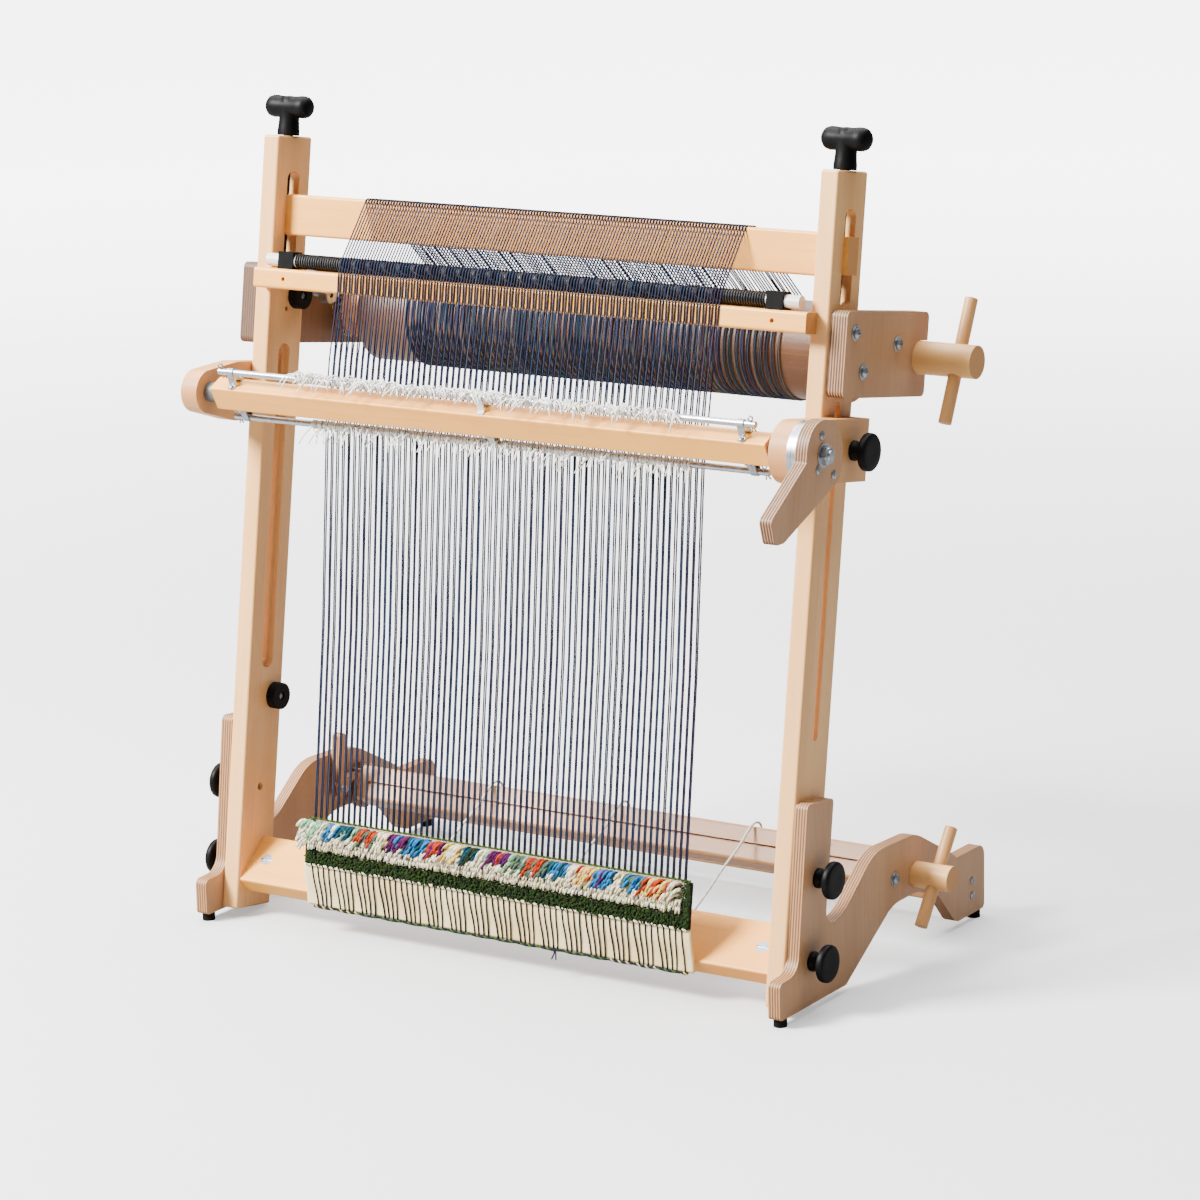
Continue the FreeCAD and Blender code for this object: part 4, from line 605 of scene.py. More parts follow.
class Finish(Enum):
    """Every finish of the loom."""

    RAIL = Timber("maple_rail", Grain.ACROSS, (0.84, 0.385, 0.06), (0.78, 0.325, 0.045), (0.50, 0.18, 0.02))
    POST = Timber("maple_post", Grain.UPWARD)
    BRACKET = Timber("maple_bracket", Grain.BACKWARD, (0.66, 0.325, 0.115), (0.58, 0.265, 0.085))
    LEVEL_RAIL = Timber(
        "maple_level_rail", Grain.ACROSS, (0.46, 0.235, 0.10), (0.38, 0.185, 0.075), leans=False
    )
    LOG = Timber("maple_log", Grain.ACROSS, (0.21, 0.105, 0.052), (0.17, 0.08, 0.038))
    DOWEL = Timber("birch_dowel", Grain.ACROSS, (0.84, 0.46, 0.16), (0.76, 0.39, 0.12))
    PEG = Timber("birch_peg", Grain.UPWARD, (0.70, 0.36, 0.13), (0.62, 0.30, 0.10))
    PLY = Plywood("birch_ply", end_ply=(0.036, 0.014, 0.005), long_share=0.34)
    # A darker copy of the birch plywood for the left beam plate: painted shade where it sits behind the left
    # upright.
    SHADED_PLY = Plywood(
        "birch_ply_painted_shade",
        face=(0.22, 0.11, 0.05),
        shade=(0.18, 0.09, 0.04),
        vein=(0.12, 0.052, 0.02),
        long_ply=(0.11, 0.05, 0.02),
        end_ply=(0.05, 0.02, 0.007),
    )
    FOOT_PLY = Plywood("birch_ply_foot", leans=False)
    GRIP = Moulded("black_grip", (0.0022, 0.0022, 0.0023), (0.005, 0.005, 0.0052), 0.42, 0.03, 0.09)
    RUBBER = Moulded("black_rubber", (0.003, 0.003, 0.003), (0.007, 0.007, 0.007), 0.6, 0.06, 0.1)
    WHITE = Moulded("white_moulding", (0.66, 0.66, 0.64), (0.55, 0.55, 0.53), 0.3)
    WIRE = Moulded("black_wire", (0.0024, 0.0024, 0.0028), (0.007, 0.007, 0.008), 0.34, 0.01, 0.12)
    TUBE = Moulded("white_tube", (0.62, 0.61, 0.58), (0.52, 0.51, 0.48), 0.32)
    # Dark grey in place of white: painted shade on the spring's white tube between the coils, and on the
    # white shed collars at the shedding bar's ends.
    SLEEVE = Moulded("tube_painted_shade", (0.11, 0.11, 0.107), (0.08, 0.08, 0.077), 0.3)
    ZINC = Metal("zinc_plate", (0.42, 0.45, 0.48), (0.28, 0.30, 0.33))
    DARK_THREAD = Metal("dark_thread", (0.030, 0.030, 0.032), (0.014, 0.014, 0.016), 0.4)
    STEEL = Metal("drawn_steel", (0.48, 0.50, 0.53), (0.36, 0.37, 0.40), 0.24, along=30.0)
    WARP = Yarn("warp_yarn", 3.0, 2, 0.10, 0.4, 0.02)
    STRING = Yarn("white_string", 2.2, 2, 0.10, 0.30, 0.1)
    PILE = Yarn("wool_pile", 5.0, 1, 0.25, 0.45, 0.06)
    WEFT = Yarn("weft_yarn", 3.4, 2, 0.2, 0.5, 0.05)
    BRAID = BraidedCord("braided_cord")
    CLOTH = PlainCloth("cream_cloth")

    @lru_cache(maxsize=None)
    def material(self) -> Material:
        """Return the finish's material, made when it is first asked for."""
        return self.value.material()


# Meshes


class MeshWork:
    """Gathers tubes, turned forms and sheets into one mesh, with the numbers that yarn finishes read."""

    def __init__(self, seed: int = 0) -> None:
        """Start with nothing, and with a source of chance of its own.

        Args:
            seed: The seed of that source.
        """
        self.chance = random.Random(seed)
        self.points: list[Points] = []
        self.strands: list[Points] = []
        self.dyes: list[Points] = []
        self.quads = [np.zeros((0, 4), int)]
        self.tris = [np.zeros((0, 3), int)]
        self.count = 0

    def keep(self, points: Points, dye: Colour = UNDYED, strand: Points | None = None) -> None:
        """Store points with their numbers.

        Args:
            points: The points, in metres.
            dye: Their colour.
            strand: Their strand numbers.
        """
        self.points.append(points)
        self.strands.append(np.zeros((len(points), 3)) if strand is None else strand.reshape(-1, 3))
        self.dyes.append(np.tile(np.array([*dye, 1.0]), (len(points), 1)))
        self.count += len(points)

    def stack(
        self,
        rings: Points,
        caps: Sequence[Points | None],
        dye: Colour = UNDYED,
        strand: Points | None = None,
        closed: bool = False,
    ) -> None:
        """Join rings of points into a skin.

        Args:
            rings: The rings, as (ring, point, 3), each anticlockwise seen from the last one.
            caps: The points that close the first and the last ring.
            dye: The colour of these points.
            strand: The strand numbers of the points, as the rings.
            closed: Whether the last ring joins the first.
        """
        rows, sides, _ = rings.shape
        index = np.arange(rows * sides).reshape(rows, sides) + self.count
        if closed:
            index = np.vstack([index, index[:1]])
        after = np.roll(index, -1, axis=1)
        self.quads.append(np.stack([index[:-1], after[:-1], after[1:], index[1:]], axis=-1).reshape(-1, 4))
        self.keep(rings.reshape(-1, 3), dye, strand)
        for cap, ring, step in zip(caps, (index[0], index[-1]), (-1, 1)):
            if cap is not None:
                fan = np.stack([np.full(sides, self.count), ring, np.roll(ring, -1)], axis=-1)
                self.tris.append(fan[:, ::step])
                self.keep(np.asarray(cap, float).reshape(1, 3), dye)

    def tube(
        self,
        path: Points,
        radius: Number,
        sides: int = 6,
        side: Points | None = None,
        dye: Colour = UNDYED,
        closed: bool = False,
    ) -> None:
        """Add a round tube along a line.

        Args:
            path: The points that it follows, in metres.
            radius: Its radius, the same or point by point.
            sides: How many sides it has.
            side: A direction that is never along the line, to steady the section.
            dye: Its colour.
            closed: Whether the line is a ring.
        """
        ways = np.roll(path, -1, axis=0) - np.roll(path, 1, axis=0) if closed else np.gradient(path, axis=0)
        ways = ways / np.maximum(np.linalg.norm(ways, axis=1, keepdims=True), 1e-12)
        if side is None:
            normals = np.zeros_like(path)
            near = np.eye(3)[int(np.argmin(np.abs(ways[0])))]
            for i, way in enumerate(ways):
                near = near - way * float(near @ way)
                near = near / np.linalg.norm(near)
                normals[i] = near
        else:
            normals = side - ways * (ways @ side)[:, None]
            normals = normals / np.linalg.norm(normals, axis=1, keepdims=True)
        others = np.cross(ways, normals)
        cosines, sines = np.cos(around(sides)), np.sin(around(sides))
        radii = np.broadcast_to(np.asarray(radius, float), len(path))
        spokes = cosines[None, :, None] * normals[:, None, :] + sines[None, :, None] * others[:, None, :]
        rings = path[:, None, :] + radii[:, None, None] * spokes
        strand = columns(run_along(path)[:, None], cosines[None, :], sines[None, :])
        self.stack(rings, (None, None) if closed else (path[0], path[-1]), dye, strand, closed)

    def strand(self, line: Sequence, radius: Number, sides: int = 5, **more: object) -> None:
        """Add a tube along a line of the uprights' frame, with both in millimetres."""
        self.tube(SPACE.leaning(line), radius * MM, sides, **more)

    def turned(
        self,
        profile: Sequence[Pair],
        at: Points,
        way: Points,
        sides: int,
        ripple: Callable[[float, Points], Points] | None = None,
    ) -> None:
        """Add a turned form.

        Args:
            profile: (radius, height) pairs in millimetres, from its foot to its top.
            at: The foot of its axis, in metres.
            way: The way its axis points.
            sides: How many sides it has.
            ripple: Takes a radius and the angles and returns the radii round the ring.
        """
        axis = np.asarray(way, float) / np.linalg.norm(way)
        first, second = square_to(axis)
        angles = around(sides)
        spokes = np.cos(angles)[:, None] * first + np.sin(angles)[:, None] * second
        rings, caps = [], [None, None]
        for number, (radius, height) in enumerate(profile):
            middle = np.asarray(at, float) + axis * (height * MM)
            if radius <= 0.0:
                caps[min(number, 1)] = middle
                continue
            radii = (ripple(radius, angles) if ripple else np.full(sides, radius)) * MM
            rings.append(middle + spokes * radii[:, None])
        self.stack(np.array(rings), caps)

    def slab(self, grid: Points, thickness_mm: float, dye: Colour = UNDYED) -> None:
        """Add a closed sheet.

        Args:
            grid: Its middle, as (row, column, 3), in metres.
            thickness_mm: Its thickness.
            dye: Its colour.
        """
        normal = np.cross(np.gradient(grid, axis=1), np.gradient(grid, axis=0))
        normal = normal / np.maximum(np.linalg.norm(normal, axis=2, keepdims=True), 1e-12)
        drop = grid.shape[0] * grid.shape[1]
        top = np.arange(drop).reshape(grid.shape[:2]) + self.count
        low = top + drop
        for face in (1, -1):
            self.keep((grid + face * normal * (thickness_mm * MM) / 2).reshape(-1, 3), dye)
        for corners in (
            (top[:-1, :-1], top[1:, :-1], top[1:, 1:], top[:-1, 1:]),
            (low[:-1, :-1], low[:-1, 1:], low[1:, 1:], low[1:, :-1]),
        ):
            self.quads.append(np.stack(corners, -1).reshape(-1, 4))
        rim = np.concatenate([top[0], top[1:, -1], top[-1, -2::-1], top[-2:0:-1, 0]])
        onward = np.roll(rim, -1)
        self.quads.append(np.stack([rim, onward, onward + drop, rim + drop], -1))

    def build(self, name: str, finish: Finish, crease: float = 0.0, smooth: bool = True) -> Piece:
        """Make the object, with its points in the row frame.

        Args:
            name: Its name.
            finish: Its finish.
            crease: The angle in degrees above which an edge is crisp, or 0 for no crisp edges.
            smooth: Whether its faces are shaded smooth.

        Returns:
            The object.
        """
        mesh = bpy.data.meshes.new(name)
        points, quads, tris = (np.concatenate(parts) for parts in (self.points, self.quads, self.tris))
        mesh.vertices.add(len(points))
        mesh.vertices.foreach_set("co", points.astype(np.float32).ravel())
        mesh.loops.add(quads.size + tris.size)
        corners = np.concatenate([quads.ravel(), tris.ravel()])
        mesh.loops.foreach_set("vertex_index", corners.astype(np.int32))
        mesh.polygons.add(len(quads) + len(tris))
        starts = np.concatenate([np.arange(len(quads)) * 4, quads.size + np.arange(len(tris)) * 3])
        mesh.polygons.foreach_set("loop_start", starts.astype(np.int32))
        mesh.update(calc_edges=True)
        mesh.validate()
        for key, kind, field_name, values in (
            ("strand", "FLOAT_VECTOR", "vector", self.strands),
            ("dye", "FLOAT_COLOR", "color", self.dyes),
        ):
            data = mesh.attributes.new(key, kind, "POINT").data
            data.foreach_set(field_name, np.concatenate(values).astype(np.float32).ravel())
        mesh.polygons.foreach_set("use_smooth", np.full(len(mesh.polygons), smooth))
        mesh.materials.append(finish.material())
        if crease:
            mesh.set_sharp_from_angle(angle=math.radians(crease))
        return linked(name, mesh)

    def fit(self, name: str, finish: Finish, body: str, slot: str, *nodes: str, **more: float) -> Piece:
        """Make the object and settle it on a body, with the crease and the smoothness of build."""
        return settle(self.build(name, finish, **more), body, slot, *nodes)


def linked(name: str, data: bpy.types.ID) -> Piece:
    """Put a new object of some data into the scene."""
    made = bpy.data.objects.new(name, data)
    bpy.context.scene.collection.objects.link(made)
    return made


def settle(piece: Piece, body: str, slot: str, *nodes: str) -> Piece:
    """Let a piece ride on a body and hide the CAD nodes that it replaces.

    Args:
        piece: The piece.
        body: The CAD body that carries it.
        slot: The record's material slot; not used.
        *nodes: The CAD nodes that it replaces.

    Returns:
        The same piece.
    """
    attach(piece, body)
    if nodes:
        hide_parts(*nodes)
    log.info("%s rides on %s", piece.name, body)
    return piece


def span(piece: Piece, bodies: tuple[str, str], node: str, ends: Iterable[Triple]) -> None:
    """Bake a piece's place into its mesh and hide the CAD node that it replaces.

    Args:
        piece: The piece.
        bodies: The bodies that it lies between, named in the log.
        node: The CAD node that it replaces.
        ends: Where it starts and stops, in the uprights' frame; they are turned into the row frame but not
            used further.
    """
    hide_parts(node)
    start, end = (tuple(SPACE.leaning(point)) for point in ends)
    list(bodies)
    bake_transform(piece)
    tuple(start)
    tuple(end)
    log.info("%s stretches between %s and %s", piece.name, *bodies)


# The scene's floor, lights and camera


@dataclass(frozen=True)
class Studio:
    """The floor, the soft lights and the camera."""

    eye: Triple = (2.20796, -3.36613, 1.29147)
    azimuth: float = math.radians(33.039)
    dip: float = math.radians(13.363)
    roll: float = math.radians(-1.221)
    lens: float = 126.945
    sensor: float = 36.0
    far: float = 200.0
    aim: Triple = (0.0, 0.0, 0.35)
    floor_size: float = 150.0
    world_light: float = 0.18

    def camera(self) -> None:
        """Set up the camera at the photograph's angle."""
        data = bpy.data.cameras.new("view")
        data.lens, data.sensor_width, data.clip_end = self.lens, self.sensor, self.far
        camera = linked("view", data)
        level = math.cos(self.dip)
        ahead = Vector((-math.sin(self.azimuth) * level, math.cos(self.azimuth) * level, -math.sin(self.dip)))
        right = Vector((math.cos(self.azimuth), math.sin(self.azimuth), 0.0))
        up = right.cross(ahead)
        c, s = math.cos(self.roll), math.sin(self.roll)
        right, up = right * c + up * s, up * c - right * s
        turn = Matrix((right, up, -ahead)).transposed().to_4x4()
        camera.matrix_world = Matrix.Translation(self.eye) @ turn
        bpy.context.scene.camera = camera

    def light(self, name: str, at: Triple, size: float, power: float, tint: Colour) -> None:
        """Add one soft area light that looks at the loom.

        Args:
            name: The light's name.
            at: Where it stands.
            size: The side of its square.
            power: Its power in watts.
            tint: Its colour.
        """
        data = bpy.data.lights.new(name, "AREA")
        data.size, data.energy, data.color = size, power, tint
        lamp = linked(name, data)
        lamp.location = at
        lamp.rotation_mode = "QUATERNION"
        lamp.rotation_quaternion = (Vector(self.aim) - Vector(at)).to_track_quat("-Z", "Y")

    def build(self) -> None:
        """Make the whole studio."""
        self.camera()
        self.light("key", (-2.4, -2.9, 3.4), 1.6, 1250.0, (1.0, 0.985, 0.97))
        self.light("ceiling", (-0.6, 0.9, 4.0), 5.0, 620.0, (0.98, 0.99, 1.0))
        world = bpy.data.worlds.new("studio")
        world.use_nodes = True
        background = world.node_tree.nodes["Background"].inputs
        background[0].default_value, background[1].default_value = (1.0, 1.0, 1.0, 1.0), self.world_light
        bpy.context.scene.world = world
        half = self.floor_size / 2
        mesh = bpy.data.meshes.new("floor")
        corners = [(-half, -half, 0), (half, -half, 0), (half, half, 0), (-half, half, 0)]
        mesh.from_pydata(corners, [], [(0, 1, 2, 3)])
        mesh.materials.append(StudioFloor().material())
        linked("floor", mesh)
        log.info("studio is set")


# The cords that hold the end stick to the cloth beam


@dataclass
class ApronCords:
    """Three white cords from the cloth beam to the end stick."""

    places: Sequence[float] = (-150.0, 5.0, 160.0)
    radius: float = 1.25
    length: float = 0.1618
    route: Sequence[Triple] = (
        (0.0, 246.25, 96.52),
        (0.0, 249.50, 102.15),
        (0.0, 232.91, 109.42),
        (1.2, 200.97, 89.61),
        (-0.8, 172.96, 75.60),
        (0.6, 147.49, 62.86),
        (0.0, 109.29, 44.15),
    )

    def line(self, name: str, place: float) -> Piece:
        """Make one cord's spline.

        Args:
            name: Its name.
            place: Where it lies across the loom.

        Returns:
            The curve.
        """
        data = bpy.data.curves.new(name, "CURVE")
        data.dimensions = "3D"
        data.bevel_depth = self.radius * MM
        data.bevel_resolution, data.resolution_u = 3, 16
        data.use_fill_caps = True
        spline = data.splines.new("NURBS")
        points = SPACE.level([(x + place, y, z) for x, y, z in self.route])
        spline.points.add(len(points) - 1)
        for point, co in zip(spline.points, points):
            point.co = (*co, 1.0)
        spline.order_u, spline.use_endpoint_u = 3, True
        data.materials.append(Finish.BRAID.material())
        return linked(name, data)

    def build(self) -> None:
        """Make the cords."""
        for number, place in enumerate(self.places):
            cord = settle(self.line(f"apron_cord_{number + 1}", place), "frame", "white_cord", "apron_cords")
            tuple(SPACE.level((place, *self.route[0][1:])))


# The warp


@dataclass(frozen=True)
class WarpPlan:
    """Where the warp's threads run across the loom."""

    left: float = -213.0
    right: float = 224.0
    threads: int = 130
    radius: float = 0.80
    half_gap: float = 0.81
    dyes: Sequence[Colour] = (
        (0.018, 0.023, 0.048),
        (0.013, 0.017, 0.036),
        (0.022, 0.026, 0.046),
        (0.014, 0.024, 0.052),
        (0.022, 0.018, 0.040),
        (0.034, 0.036, 0.052),
    )

    def places(self) -> Points:
        """Return where the threads cross the tension beam, evenly spaced."""
        return self.left + (self.right - self.left) / self.threads * (np.arange(self.threads) + 0.5)

    def paired(self) -> Points:
        """Return where the threads lie once they are drawn together two by two."""
        inward = np.where(np.arange(self.threads) % 2 == 0, 1.0, -1.0)
        return self.places() + inward * (self.right - self.left) / self.threads / 2 - inward * self.half_gap

    def pairs(self) -> Points:
        """Return the middle of each pair."""
        return self.places().reshape(-1, 2).mean(axis=1)

    def dye(self, chance: random.Random) -> Colour:
        """Return one thread's colour."""
        base, light = chance.choice(self.dyes), chance.uniform(0.8, 1.2)
        return tuple(channel * light for channel in base)


PLAN = WarpPlan()


@dataclass
class WarpThreads:
    """The stretched warp, up from the warp beam, over the tension beam and the spring, and down."""

    beam_front: float = 18.475
    beam_back: float = 37.525
    beam_top: float = 719.45
    beam_round: float = 2.5
    spring: Pair = (-10.0, 654.75)
    spring_radius: float = 8.1
    spring_leave: float = math.radians(184)
    bar_front: float = -20.0
    bar_high: float = 646.5
    bar_low: float = 626.5
    rear_end: Pair = (165.0, 632.9)
    upper_heddle: Pair = (-29.5, 541.0)
    lower_heddle: Pair = (-27.0, 497.0)
    clear: float = 0.1
    above_heddle: Pair = (0.8, 22.0)
    below_heddle: Pair = (1.6, -41.0)
    passing: Pair = (-3.5, 550.0)
    below: Pair = (-15.4, 300.0)
    fell: Pair = (-10.0, 107.5)
    free_run: float = 520.0
    front_step: float = 34.0
    back_step: float = 22.0
    bodies: tuple[str, str] = ("frame", "top_beam")

    def front_route(self, pulled: bool) -> list[Triple]:
        """Return the (share from even to paired, depth, height) stations of a front thread.

        Args:
            pulled: Whether the upper heddles hold the thread.

        Returns:
            The stations, from the tension beam down.
        """
        edge = (self.beam_front - PLAN.radius, self.beam_top - self.beam_round)
        gap_v, gap_u = edge[0] - self.spring[0], edge[1] - self.spring[1]
        touch = math.atan2(gap_u, gap_v) + math.acos(self.spring_radius / math.hypot(gap_v, gap_u))
        bend = arc(self.spring, self.spring_radius, np.linspace(touch, self.spring_leave, 5))
        skin = self.bar_front - PLAN.radius - self.clear
        stations = [(0.0, *edge), *columns(0.0, *bend)]
        stations += [(0.1, skin, self.bar_high - 3.0), (0.35, skin, self.bar_low + 3.0)]
        if pulled:
            held = np.array(self.upper_heddle)
            for share, shift in ((0.85, self.above_heddle), (1.0, (0.0, 0.0)), (0.95, self.below_heddle)):
                stations.append((share, *(held + shift)))
        else:
            stations += [(0.9, skin + self.passing[0], self.passing[1]), (1.0, *self.lower_heddle)]
        return stations + [(1.0, *self.below), (0.95, *self.fell)]

    def front(self) -> None:
        """Make the front threads."""
        work = MeshWork(11)
        for i, (even, paired) in enumerate(zip(PLAN.places(), PLAN.paired())):
            nudge = work.chance.uniform(-0.35, 0.35)
            line = []
            for share, depth, height in self.front_route(i % 2 == 0):
                loose = math.sin(math.pi * min(1.0, max(0.0, (self.bar_low - height) / self.free_run)))
                line.append((even + (paired - even) * share + nudge * loose, depth, height))
            fine = spaced_line(np.array(line), self.front_step)
            work.strand(fine, PLAN.radius, side=ACROSS, dye=PLAN.dye(work.chance))
        piece = work.build("front_warp_threads", Finish.WARP)
        span(piece, self.bodies, "front_warp", ((0.0, 5.0, 662.0), (0.0, 5.0, 708.0)))

    def back(self) -> None:
        """Make the threads between the warp beam and the tension beam."""
        work = MeshWork(12)
        high = np.array([self.beam_back + PLAN.radius, self.beam_top - self.beam_round])
        low = np.array(self.rear_end)
        for x in PLAN.places():
            drift = work.chance.uniform(-1.6, 1.6)
            line = [(x, *high), (x + drift * 0.4, *(high * 0.6 + low * 0.4)), (x + drift, *low)]
            fine = spaced_line(np.array(line), self.back_step)
            work.strand(fine, PLAN.radius, side=ACROSS, dye=PLAN.dye(work.chance))
        piece = work.build("back_warp_threads", Finish.WARP)
        span(piece, self.bodies, "back_warp", ((0.0, *self.rear_end), (0.0, 42.0, 712.0)))

    def over(self) -> None:
        """Make the short stretch of each thread that lies on the tension beam."""
        work = MeshWork(13)
        bend, quarter = self.beam_round, np.linspace(0.0, 90.0, 5)
        corners = ((self.beam_back - bend, quarter), (self.beam_front + bend, 90.0 + quarter))
        bends = [
            arc((depth, self.beam_top - bend), bend + PLAN.radius, np.radians(angles))
            for depth, angles in corners
        ]
        depths, heights = np.concatenate(bends, axis=1)
        for x in PLAN.places():
            work.strand(columns(x, depths, heights), PLAN.radius, side=ACROSS, dye=PLAN.dye(work.chance))
        work.fit("beam_warp_threads", Finish.WARP, "top_beam", "warp_yarn", "beam_warp")

    def build(self) -> None:
        """Make all the stretched threads."""
        self.back()
        self.over()
        self.front()


@dataclass
class WoundWarp:
    """The warp wound on the warp beam, round its one flat."""

    axis: Pair = (147.0, 607.0)
    radius: float = 49.5
    flat: float = 28.5
    flat_angle: float = math.radians(55.0)
    samples: int = 56
    turns_each: int = 3
    thread: float = 0.60
    # Lighter than the stretched warp's dyes of the same yarn: painted light on the winding.
    dyes: Sequence[Colour] = (
        (0.038, 0.058, 0.105),
        (0.045, 0.075, 0.125),
        (0.036, 0.078, 0.092),
        (0.072, 0.062, 0.088),
        (0.115, 0.118, 0.130),
        (0.042, 0.050, 0.080),
        (0.170, 0.155, 0.150),
        (0.082, 0.062, 0.084),
    )

    def outline(self, lift: float) -> tuple[Points, Points]:
        """Return the depths and heights round the log.

        Args:
            lift: The height above its skin, in millimetres.

        Returns:
            The depths and the heights.
        """
        angles = around(self.samples)
        turned = np.cos(angles - self.flat_angle)
        straight = np.where(turned > 0.1, (self.flat + lift) / np.maximum(turned, 0.1), 1e3)
        reach = np.minimum(self.radius + lift, straight)
        return arc(self.axis, (np.roll(reach, 1) + 2 * reach + np.roll(reach, -1)) / 4, angles)

    def build(self) -> None:
        """Make the winding."""
        work = MeshWork(21)
        chance = work.chance
        angles = around(self.samples)
        for i, place in enumerate(PLAN.paired()):
            spread = 1.15 - 0.75 * i / PLAN.threads
            for layer in range(self.turns_each):
                middle = place + chance.uniform(-spread, spread)
                sway = chance.uniform(0.1, 0.7)
                across = middle + sway * np.sin(angles + chance.uniform(0.0, 6.28))
                across = across + 0.35 * np.sin(3 * angles + chance.uniform(0.0, 6.28))
                dye = varied(chance.choice(self.dyes), chance, 0.75, 1.35)
                line = columns(across, *self.outline(0.55 + 0.5 * layer))
                work.strand(line, self.thread, side=ACROSS, dye=dye, closed=True)
        work.fit("wound_warp_threads", Finish.WARP, "warp_beam", "warp_yarn", "wound_warp")


# The spring that spaces the warp


@dataclass
class WarpSpring:
    """The long close spring on its white tube."""

    axis: Pair = (-10.0, 654.75)
    reach: float = 268.5
    coil: float = 6.95
    wire: float = 0.82
    core: float = 6.5
    turns: int = 190
    steps: int = 16

    def build(self) -> None:
        """Make the spring and its tube."""
        share = np.arange(self.turns * self.steps + 1) / (self.turns * self.steps)
        bend = arc(self.axis, self.coil, share * self.turns * TURN)
        work = MeshWork()
        work.strand(columns(-self.reach + 2 * self.reach * share, *bend), self.wire, 6)
        work.fit("warp_spring_coils", Finish.WIRE, "frame", "black_spring", "warp_spring")
        # The white tube inside the coils is drawn dark grey as painted shade.
        sleeve = MeshWork()
        sleeve.strand([(x, *self.axis) for x in (1.0 - self.reach, self.reach - 1.0)], self.core, 24)
        sleeve.fit("warp_spring_sleeve", Finish.SLEEVE, "frame", "white_tube")


# The heddles and the shedding bar's small parts


@dataclass(frozen=True)
class ShedBar:
    """Where the shedding bar and its two rods are."""

    axis: Pair = (-65.0, 522.0)
    tilt: float = math.radians(35.0)
    rod_offset: float = 27.0
    rod_radius: float = 3.175
    half: float = 13.0

    def local(self, x: float, across: float, along: float) -> Triple:
        """Return a point in the uprights' frame from the bar's own directions.

        Args:
            x: Across the loom.
            across: Through the bar's thickness.
            along: From the bar's middle towards the upper rod.

        Returns:
            The point.
        """
        c, s = math.cos(self.tilt), math.sin(self.tilt)
        return (x, self.axis[0] + across * c - along * s, self.axis[1] + across * s + along * c)

    def rod(self, way: int) -> Pair:
        """Return the depth and height of a rod."""
        return self.local(0.0, 0.0, way * self.rod_offset)[1:]


BAR = ShedBar()


